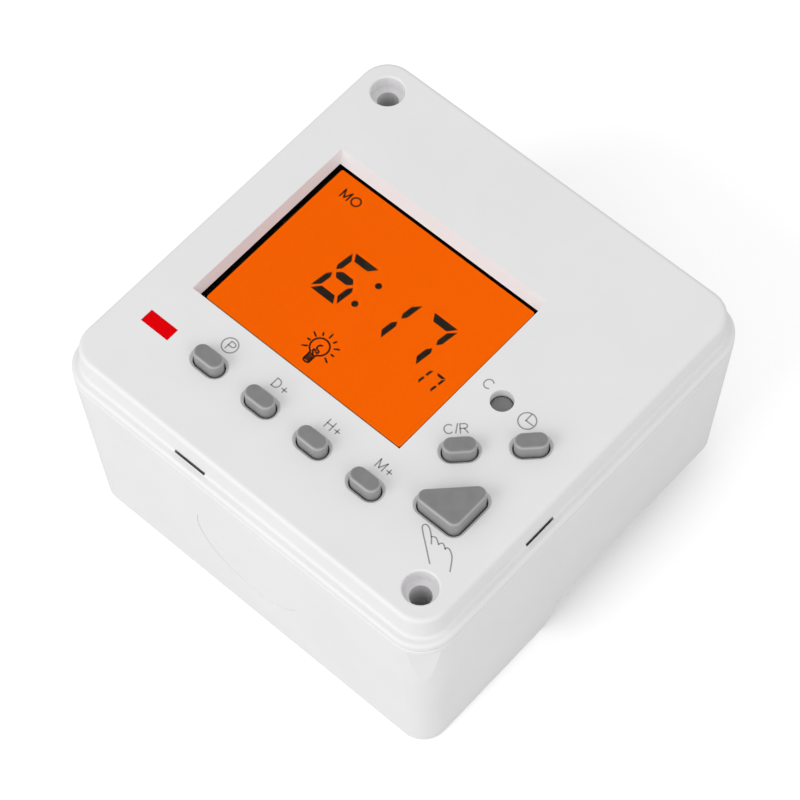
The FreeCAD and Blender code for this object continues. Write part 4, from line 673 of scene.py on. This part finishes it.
# %% Outlines of the segments
def segments(left, bottom, width, height, bar, post, gap, mitre):
    """Outlines of the seven segments a to g of one cell, before the lean.

    One post and the top bar are written out. The others are their mirror images: x becomes
    left + right - x, and y becomes twice the middle less y. A cut between a bar and a post
    is slanted, so its corners lie at shares of the gap.
    """
    right = left + width
    top = bottom + height
    middle = bottom + height / 2
    inner = post + gap * 0.9
    lift = gap * 1.1
    shoulder = post * mitre
    tip = post * 0.9
    bevel = post * 1.6
    half_bar = bar * 0.55
    left_post = [
        (left, top - lift),
        (left, middle + lift + shoulder),
        (left + post / 2, middle + lift),
        (left + post, middle + lift + shoulder),
        (left + post, top - bar - gap * 0.7),
    ]
    right_post = [(left + right - x, y) for x, y in left_post[::-1]]
    top_bar = [
        (left + gap, top),
        (left + inner, top - bar),
        (right - inner, top - bar),
        (right - gap, top),
    ]
    return {
        "a": top_bar,
        "b": right_post,
        "c": [(x, 2 * middle - y) for x, y in right_post[::-1]],
        "d": [(x, 2 * middle - y) for x, y in top_bar[::-1]],
        "e": [(x, 2 * middle - y) for x, y in left_post[::-1]],
        "f": left_post,
        "g": [
            (left + tip, middle),
            (left + bevel, middle - half_bar),
            (right - bevel, middle - half_bar),
            (right - tip, middle),
            (right - bevel, middle + half_bar),
            (left + bevel, middle + half_bar),
        ],
    }


TIME_CELL = {"width": 6.1, "height": 10.4, "bar": 1.5, "post": 1.16, "gap": 0.4, "mitre": 0.75}
SECONDS_CELL = {"width": 2.2, "height": 3.85, "bar": 0.5, "post": 0.46, "gap": 0.17, "mitre": 0.35}
print("segments", sorted(segments(0.0, 0.0, **TIME_CELL)))

# %% [markdown]
# The display reads 6:17 and 17 seconds, and its digits lean to the right. The lean could
# be drawn into the outlines, but as a step of its own it is one number: a point moves
# sideways in proportion to its height. A lit segment of liquid crystal lets no light
# through, so its finish is a dark tone without gloss. Only the window over it shines.

# %% The time and the seconds
LEAN = 0.13
LIT = {"1": "bc", "6": "afgcde", "7": "abc"}
TIME_BOTTOM = -2.85
TIME_FIGURES = (("6", -19.3), ("1", -8.95), ("7", -0.84))
SECONDS_BOTTOM = -5.0
SECONDS_FIGURES = (("1", 6.1), ("7", 8.85))
COLON_X = -11.1
COLON_Y = (5.1, -0.3)
COLON_RADIUS = 0.64
DOT_POINTS = 24
segment_black = solid_finish(
    "dark liquid crystal", "#25211C", "#211D19", 0.5,
    grain_mm=0.3, depth_mm=0.001, cloud_mm=4.0, **{"IOR": 1.5, "Specular IOR Level": 0.0},
)


def digit(figure, left, bottom, **cell):
    """Plates of a figure's lit segments, each point (x, y) moved to (x + lean times y, y)."""
    outlines = segments(left, bottom, **cell)
    plates = []
    for name in LIT[figure]:
        points = np.array(outlines[name], dtype=float)
        leaning = points + np.outer(points[:, 1] * LEAN, (1.0, 0.0))
        plates.append(plate(leaning, FILM_HIGH, INK_HIGH))
    return plates


display_parts = []
for figure, left in TIME_FIGURES:
    display_parts += digit(figure, left, TIME_BOTTOM, **TIME_CELL)
for figure, left in SECONDS_FIGURES:
    display_parts += digit(figure, left, SECONDS_BOTTOM, **SECONDS_CELL)
for y in COLON_Y:
    dot = circle(COLON_X + LEAN * y, y, COLON_RADIUS, DOT_POINTS)
    display_parts.append(plate(dot, FILM_HIGH, INK_HIGH))
piece("lcd_digits", display_parts, "case", segment_black)

# %% [markdown]
# Letters are drawn with one thin pen line, as on the real print. Blender's own font could
# write them, but it has a heavier line and other shapes. So each letter is a few strokes
# in a box one unit high, and the same small alphabet serves the weekday on the display
# and the legends beside the keys.

# %% A pen-stroke alphabet
WEEKDAY_PLACE = (-28.21, 14.55)
WEEKDAY_HEIGHT = 1.8
WEEKDAY_PEN = 0.3
WEEKDAY_SPACING = 0.36


def bowed(x, y, radius, tall, foot, count):
    """The bowed stroke of a D, P or R.

    It goes up a stem one unit high, round half an ellipse about x, y, and back to the stem
    at the foot's height.
    """
    return np.concatenate([[(0, 0), (0, 1)], arc(x, y, radius, 90, -90, count, tall=tall), [(0, foot)]])


LETTERS = {
    "C": (0.84, [arc(0.45, 0.5, 0.45, 48, 312, 33, tall=0.5)]),
    "D": (0.72, [bowed(0.27, 0.5, 0.45, 0.5, 0, 21)]),
    "H": (0.72, [[(0, 0), (0, 1)], [(0.72, 0), (0.72, 1)], [(0, 0.53), (0.72, 0.53)]]),
    "M": (
        0.87,
        [
            [(0, 0), (0, 1)],
            [(0, 1), (0.43, 0.12)],
            [(0.43, 0.12), (0.87, 1)],
            [(0.87, 1), (0.87, 0)],
        ],
    ),
    "O": (1.0, [arc(0.5, 0.5, 0.5, 0, 360, 41)]),
    "P": (0.68, [bowed(0.4, 0.74, 0.28, 0.26, 0.48, 15)]),
    "R": (0.76, [bowed(0.42, 0.74, 0.3, 0.26, 0.48, 15), [(0.4, 0.48), (0.74, 0)]]),
    "+": (0.6, [[(0.06, 0.4), (0.66, 0.4)], [(0.36, 0.1), (0.36, 0.7)]]),
    "/": (0.4, [[(0.1, 0), (0.34, 1.04)]]),
}


def lettering(letters, x, y, height, width, low, high, turn=0.0, spacing=0.3):
    """Strokes of some letters from a start point, scaled to a height and turned in degrees.

    Each letter moves the pen on by its own width and the spacing, both in letter heights.
    """
    parts = []
    pen = 0.0
    cos, sin = np.cos(np.radians(turn)), np.sin(np.radians(turn))
    for letter in letters:
        advance, strokes = LETTERS[letter]
        for line in strokes:
            points = (np.array(line, dtype=float) + (pen, 0)) * height
            turned = points @ np.array([[cos, sin], [-sin, cos]]) + (x, y)
            parts.append(stroke(turned, width, low, high))
        pen += advance + spacing
    return parts


weekday = lettering(
    "MO", *WEEKDAY_PLACE, WEEKDAY_HEIGHT, WEEKDAY_PEN, FILM_HIGH, INK_HIGH, spacing=WEEKDAY_SPACING
)
piece("lcd_weekday", weekday, "case", segment_black)

# %% [markdown]
# A lamp pictogram on the display says that the output is on: a round bulb, a curled
# filament, a threaded cap and nine rays, set out evenly and by turns long and short.
# Their common centre lies a little to the right of the bulb's. The bulb, the cap and the
# rays follow from radii and angles. The filament has no formula, so it is a smooth curve
# through a few points.

# %% The lamp pictogram
LAMP = (-9.86, -10.75)
LAMP_RADIUS = 1.77
LAMP_PEN = 0.33
LAMP_OPENING = (-66, 246)
CAP_LEFT = LAMP[0] - 0.62
CAP_RIGHT = LAMP[0] + 0.62
CAP_TOP = -12.75
CAP_LOW = -14.5
CAP_CORNER = 0.4
CAP_THREADS = (-13.18, -13.6, -14.02)
THREAD_PEN = 0.37
RAY_CENTRE = (-9.69, -10.66)
RAY_COUNT = 9
FIRST_RAY = 213.7
RAY_STEP = 30.3
RAY_START = 2.4
LONG_RAY = 3.25
SHORT_RAY = 2.9
FILAMENT = [
    (-9.64, -10.28), (-10.08, -10.6), (-10.13, -11.09), (-9.9, -11.4),
    (-9.36, -11.53), (-9.31, -11.93), (-9.73, -11.95), (-10.14, -11.71),
    (-10.32, -11.82), (-10.22, -12.2), (-9.86, -12.49), (-9.75, -12.75),
]


def smooth(points, per_span=8):
    """A Catmull-Rom curve through points: each span is a cubic of its four nearest points."""
    given = np.array(points, dtype=float)
    padded = np.concatenate([[2 * given[0] - given[1]], given, [2 * given[-1] - given[-2]]])
    t = np.linspace(0, 1, per_span, endpoint=False)[:, None, None]
    a, b, c, d = padded[:-3], padded[1:-2], padded[2:-1], padded[3:]
    square = 2 * a - 5 * b + 4 * c - d
    cube = 3 * b - a - 3 * c + d
    curve = 0.5 * (2 * b + (c - a) * t + square * t**2 + cube * t**3)
    return np.concatenate([curve.transpose(1, 0, 2).reshape(-1, 2), given[-1:]])


bulb = arc(*LAMP, LAMP_RADIUS, *LAMP_OPENING, 41)
neck_left = [bulb[-1], (CAP_LEFT, CAP_TOP)]
neck_right = [bulb[0], (CAP_RIGHT, CAP_TOP)]
lamp_lines = [bulb, neck_left, neck_right, smooth(FILAMENT)]
for ray in range(RAY_COUNT):
    angle = np.radians(FIRST_RAY - RAY_STEP * ray)
    way = np.array([np.cos(angle), np.sin(angle)])
    reach = SHORT_RAY if ray % 2 else LONG_RAY
    lamp_lines.append([RAY_CENTRE + way * RAY_START, RAY_CENTRE + way * reach])
lamp_parts = [stroke(line, LAMP_PEN, FILM_HIGH, INK_HIGH) for line in lamp_lines]
for y in CAP_THREADS:
    lamp_parts.append(stroke([(CAP_LEFT, y), (CAP_RIGHT, y)], THREAD_PEN, FILM_HIGH, INK_HIGH))
cap = np.concatenate(
    [
        [(CAP_RIGHT, CAP_TOP), (CAP_LEFT, CAP_TOP)],
        arc(CAP_LEFT + CAP_CORNER, CAP_LOW + CAP_CORNER, CAP_CORNER, 180, 270, QUARTER_POINTS),
        arc(CAP_RIGHT - CAP_CORNER, CAP_LOW + CAP_CORNER, CAP_CORNER, 270, 360, QUARTER_POINTS),
    ]
)
lamp_parts.append(stroke(cap, LAMP_PEN, FILM_HIGH, INK_HIGH, closed=True))
piece("lcd_lamp", lamp_parts, "case", segment_black)

# %% [markdown]
# The legends are pad-printed on the face in a thin grey ink: a letter or a sign beside
# each key. The face's material could mix the ink in through a mask, but pen strokes stay
# sharper. The real ink is a little glossier than the face and about a hundredth of a
# millimetre thick. It is drawn three times as thick, so that it shows, and starts a
# little under the face, so that no gap is left between the two.

# %% Printed legends
PRINT_SINK = 0.005
PRINT_THICKNESS = 0.03
PEN = 0.23
CAP_HEIGHT = 1.75
RESET_HEIGHT = 1.85
RING_POINTS = 72
PROGRAM_RING = (-20.13, -22.15)
PROGRAM_RING_RADIUS = 1.5
KEY_LETTERS = [
    ("P", -20.44, -23.08, {}),
    ("D+", -9.55, -23.2, {}),
    ("H+", 2.65, -23.2, {}),
    ("M+", 14.2, -23.2, {}),
    ("C", 17.4, 0.5, {"height": RESET_HEIGHT}),
    ("C/R", 18.95, -10.85, {"turn": 45.0, "spacing": 0.16}),
]
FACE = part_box("front_cover")[1].z / MM
PRINT_LOW = FACE - PRINT_SINK
PRINT_HIGH = FACE + PRINT_THICKNESS
grey_ink = solid_finish(
    "pad-printed grey ink", "#979795", "#91918F", 0.4,
    grain_mm=0.15, depth_mm=0.003, cloud_mm=1.0, IOR=1.5,
)


def ring(x, y, radius):
    """A closed pen line round a circle."""
    return stroke(circle(x, y, radius, RING_POINTS), PEN, PRINT_LOW, PRINT_HIGH, closed=True)


label = {"height": CAP_HEIGHT, "width": PEN, "low": PRINT_LOW, "high": PRINT_HIGH}
legends = [ring(*PROGRAM_RING, PROGRAM_RING_RADIUS)]
for letters, x, y, changes in KEY_LETTERS:
    legends += lettering(letters, x, y, **{**label, **changes})
piece("key_letters", legends, "case", grey_ink)

# %% [markdown]
# Two keys have pictograms instead of letters: a clock dial with its two hands, and a
# pointing hand for switching by hand. One outline of the whole hand would take many
# points. It is four pen lines here, the pointing finger and three bent ones, each a
# smooth curve through a few points.

# %% Clock and hand pictograms
CLOCK = (27.85, 0.28)
CLOCK_RADIUS = 1.6
PIVOT = (27.62, 0.19)
UPRIGHT_HAND = 1.5
LEVEL_HAND = 1.6
FINGERS = [
    [
        (33.3, -30.8), (30.7, -28.8), (28.6, -27.2), (27.8, -26.4),
        (28.0, -25.8), (28.9, -25.9), (30.2, -26.9), (31.1, -27.9),
    ],
    [(30.2, -26.9), (30.6, -26.6), (31.1, -26.6), (32.1, -27.2)],
    [(32.1, -27.1), (32.2, -26.8), (32.6, -26.6), (33.5, -27.1)],
    [(33.4, -27.1), (33.6, -26.7), (34.2, -26.75), (35.1, -27.3), (35.8, -28.15), (36.8, -29.7)],
]
clock = [
    ring(*CLOCK, CLOCK_RADIUS),
    stroke([PIVOT, (PIVOT[0], PIVOT[1] + UPRIGHT_HAND)], PEN, PRINT_LOW, PRINT_HIGH),
    stroke([PIVOT, (PIVOT[0] + LEVEL_HAND, PIVOT[1])], PEN, PRINT_LOW, PRINT_HIGH),
]
piece("clock_sign", clock, "case", grey_ink)
hand = [stroke(smooth(finger), PEN, PRINT_LOW, PRINT_HIGH) for finger in FINGERS]
piece("hand_sign", hand, "case", grey_ink)

# %% [markdown]
# The rail clip in the foot has a coil spring, which shortens when the clip is pulled. A
# solid of the CAD keeps its shape and would be cut by the clip, so a helix of the same
# sizes is shown in its place. It could be a Screw modifier on a circle, but written out
# as points it fits the room exactly.

# %% The clip's coil spring
SPRING_WIRE = 0.5
SPRING_TURNS = 7
STEPS_A_TURN = 24
WIRE_SIDES = 8


def coil(centre_x, centre_z, radius, start, end):
    """A round wire swept along a helix about Y.

    The centre line is (r cos a, y, r sin a), and y rises evenly while the angle a runs
    through the turns. A ring is spanned by the outward direction and by the cross product
    of the tangent with it.
    """
    angle = np.linspace(0, 2 * np.pi * SPRING_TURNS, SPRING_TURNS * STEPS_A_TURN + 1)[:, None]
    level = np.linspace(start, end, len(angle))[:, None]
    rise = np.full_like(angle, (end - start) / (2 * np.pi * SPRING_TURNS))
    outward = np.hstack([np.cos(angle), np.zeros_like(angle), np.sin(angle)])
    tangent = np.hstack([-radius * np.sin(angle), rise, radius * np.cos(angle)])
    tangent /= np.linalg.norm(tangent, axis=1, keepdims=True)
    sideways = np.cross(tangent, outward)
    axis = np.hstack([np.full_like(level, centre_x), level, np.full_like(level, centre_z)])
    centre = outward * radius + axis
    around = np.linspace(0, 2 * np.pi, WIRE_SIDES, endpoint=False)[None, :, None]
    spokes = np.cos(around) * outward[:, None, :] + np.sin(around) * sideways[:, None, :]
    rings = centre[:, None, :] + spokes * SPRING_WIRE / 2
    return rings.reshape(-1, 3), swept_faces(len(rings), WIRE_SIDES, False)


near, far = (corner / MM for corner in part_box("rail_clip_spring"))
middle = (near + far) / 2
wire_radius = SPRING_WIRE / 2
coil_radius = (far.x - near.x) / 2 - wire_radius
wound = coil(middle.x, middle.z, coil_radius, near.y + wire_radius, far.y - wire_radius)
coil_spring = piece("clip_coil_spring", [wound], "case", spring_steel)
for polygon in coil_spring.data.polygons:
    polygon.use_smooth = True
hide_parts("rail_clip_spring")
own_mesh(coil_spring)

# %% [markdown]
# The photograph was taken on white paper, exposed until the paper was pure white. More
# light would do that too, but it would bleach the object. So to the camera alone the
# floor is brighter than white: where it is lit it clips to white, and only the object's
# shadow on it stays. All the other rays see a plain pale sheet, which lifts the underside
# as paper does.

# %% The floor
OVEREXPOSED = 1.3
FLOOR_HALF = 1.5
FLOOR_CELLS = 8
FLOOR_LEVEL = -0.0001


def paper():
    """Plain paper that reflects more than all its light, but only towards the camera."""
    material, tree = blank("white paper sweep")
    seen = add(tree, "ShaderNodeLightPath").outputs["Is Camera Ray"]
    shown = add(tree, "ShaderNodeBsdfDiffuse", {"Color": (OVEREXPOSED, OVEREXPOSED, OVEREXPOSED, 1.0)})
    plain = add(tree, "ShaderNodeBsdfDiffuse", {"Color": linear("#E6E6E6")})
    mixed = add(tree, "ShaderNodeMixShader", links={"Fac": seen})
    tree.links.new(plain.outputs["BSDF"], mixed.inputs[1])
    tree.links.new(shown.outputs["BSDF"], mixed.inputs[2])
    add(tree, "ShaderNodeOutputMaterial", links={"Surface": mixed.outputs["Shader"]})
    return material


lines = FLOOR_CELLS + 1
steps = np.linspace(-FLOOR_HALF, FLOOR_HALF, lines)
grid_x, grid_y = np.meshgrid(steps, steps)
floor_points = np.stack([grid_x.ravel(), grid_y.ravel(), np.full(grid_x.size, FLOOR_LEVEL)], axis=1)
first = (np.arange(FLOOR_CELLS)[:, None] * lines + np.arange(FLOOR_CELLS)[None, :]).ravel()
floor_faces = np.stack([first, first + 1, first + lines + 1, first + lines], axis=1)
floor_mesh = bpy.data.meshes.new("floor")
floor_mesh.from_pydata(floor_points.tolist(), [], floor_faces.tolist())
floor_mesh.materials.append(paper())
floor = bpy.data.objects.new("floor", floor_mesh)
bpy.context.scene.collection.objects.link(floor)
print("floor", len(floor_mesh.polygons), "faces")

# %% [markdown]
# The world is a white studio. A picture of one could surround the object, but this one
# has nothing in it to mirror, so a plain background will do. The camera sees it as pure
# white behind the floor, and so do mirrored rays and rays through clear plastic. As a
# light it is weaker, or it would flatten the shadows that the lamps give.

# %% The white studio
WORLD_LIGHT = 0.7
world = bpy.data.worlds.new("white studio")
bpy.context.scene.world = world
world.use_nodes = True
sky = world.node_tree
sky.nodes.clear()
rays = add(sky, "ShaderNodeLightPath")
direct = add(
    sky,
    "ShaderNodeMath",
    links={0: rays.outputs["Is Camera Ray"], 1: rays.outputs["Is Glossy Ray"]},
    operation="MAXIMUM",
)
through = add(
    sky,
    "ShaderNodeMath",
    links={0: direct.outputs[0], 1: rays.outputs["Is Transmission Ray"]},
    operation="MAXIMUM",
)
level = add(
    sky,
    "ShaderNodeMapRange",
    {"To Min": WORLD_LIGHT, "To Max": 1.0},
    {"Value": through.outputs[0]},
)
backdrop = add(
    sky,
    "ShaderNodeBackground",
    {"Color": linear("#FFFFFF")},
    {"Strength": level.outputs["Result"]},
)
add(sky, "ShaderNodeOutputWorld", links={"Surface": backdrop.outputs["Background"]})
print("the world lights with", WORLD_LIGHT)

# %% [markdown]
# Two large soft lamps do the rest. The key lamp stands in front of the lower wall, a
# little to the left, and makes it the brightest. The fill lamp stands at the right, where
# the wall falls off by a tenth. Large lamps give the broad soft shadow of the photograph,
# which a point or a sun wouldn't. Their power is set where a colour renders about as it
# is written.


# %% Lamps
def soft_lamp(name, place, aim, size, power):
    """A square area lamp at a place, pointed at an aim, both in metres."""
    lamp = bpy.data.lights.new(name, "AREA")
    lamp.size = size
    lamp.energy = power
    stand = bpy.data.objects.new(name, lamp)
    bpy.context.scene.collection.objects.link(stand)
    stand.location = place
    stand.rotation_mode = "QUATERNION"
    stand.rotation_quaternion = (Vector(aim) - Vector(place)).to_track_quat("-Z", "Y")


LAMP_AIM = (0.0, 0.0, 0.03)
LAMP_SIZE = 0.8
soft_lamp("key_lamp", (-0.25, -0.99, 0.66), LAMP_AIM, LAMP_SIZE, power=5.2)
soft_lamp("fill_lamp", (0.96, -0.32, 0.67), LAMP_AIM, LAMP_SIZE, power=2.1)
print("lamps", [light.name for light in bpy.data.lights])

# %% [markdown]
# The camera stands where the photograph was taken from. Its direction comes from two
# angles round the object and a slight roll, its place from the distance along that
# direction and two small offsets, and its lens from the size of the object in the
# 800-pixel frame. Pointing it by hand or with a Track To constraint would lose the roll,
# so its three axes are worked out and set as a matrix.

# %% Camera
AZIMUTH = 42.92
ELEVATION = 60.61
ROLL = -1.407
DISTANCE = 602.56
SIDEWAYS = 0.486
UPWARDS = 12.232
FOCAL_PIXELS = 3248.0
FRAME_PIXELS = 800.0
AXIS_PIXEL_X = 407.97
SENSOR = 36.0

azimuth, elevation, roll = np.radians([AZIMUTH, ELEVATION, ROLL])
back = np.array(
    [np.sin(azimuth) * np.cos(elevation), -np.cos(azimuth) * np.cos(elevation), np.sin(elevation)]
)
level_right = np.array([np.cos(azimuth), np.sin(azimuth), 0.0])
level_up = np.cross(back, level_right)
right = np.cos(roll) * level_right + np.sin(roll) * level_up
up = np.cos(roll) * level_up - np.sin(roll) * level_right
eye = (back * DISTANCE + level_right * SIDEWAYS + level_up * UPWARDS) * MM
camera = bpy.data.cameras.new("camera")
camera.sensor_width = SENSOR
camera.lens = FOCAL_PIXELS / FRAME_PIXELS * SENSOR
camera.shift_x = (FRAME_PIXELS / 2 - AXIS_PIXEL_X) / FRAME_PIXELS
camera.clip_start = 0.01
camera.clip_end = 20.0
viewer = bpy.data.objects.new("camera", camera)
bpy.context.scene.collection.objects.link(viewer)
axes = np.stack([right, up, back], axis=1)
rows = [[*row, offset] for row, offset in zip(axes, eye)]
viewer.matrix_world = Matrix([*rows, [0, 0, 0, 1]])
bpy.context.scene.camera = viewer
bpy.context.scene.view_settings.view_transform = "Standard"
print("camera at", np.round(eye / MM, 1), "mm, lens", round(camera.lens, 1))
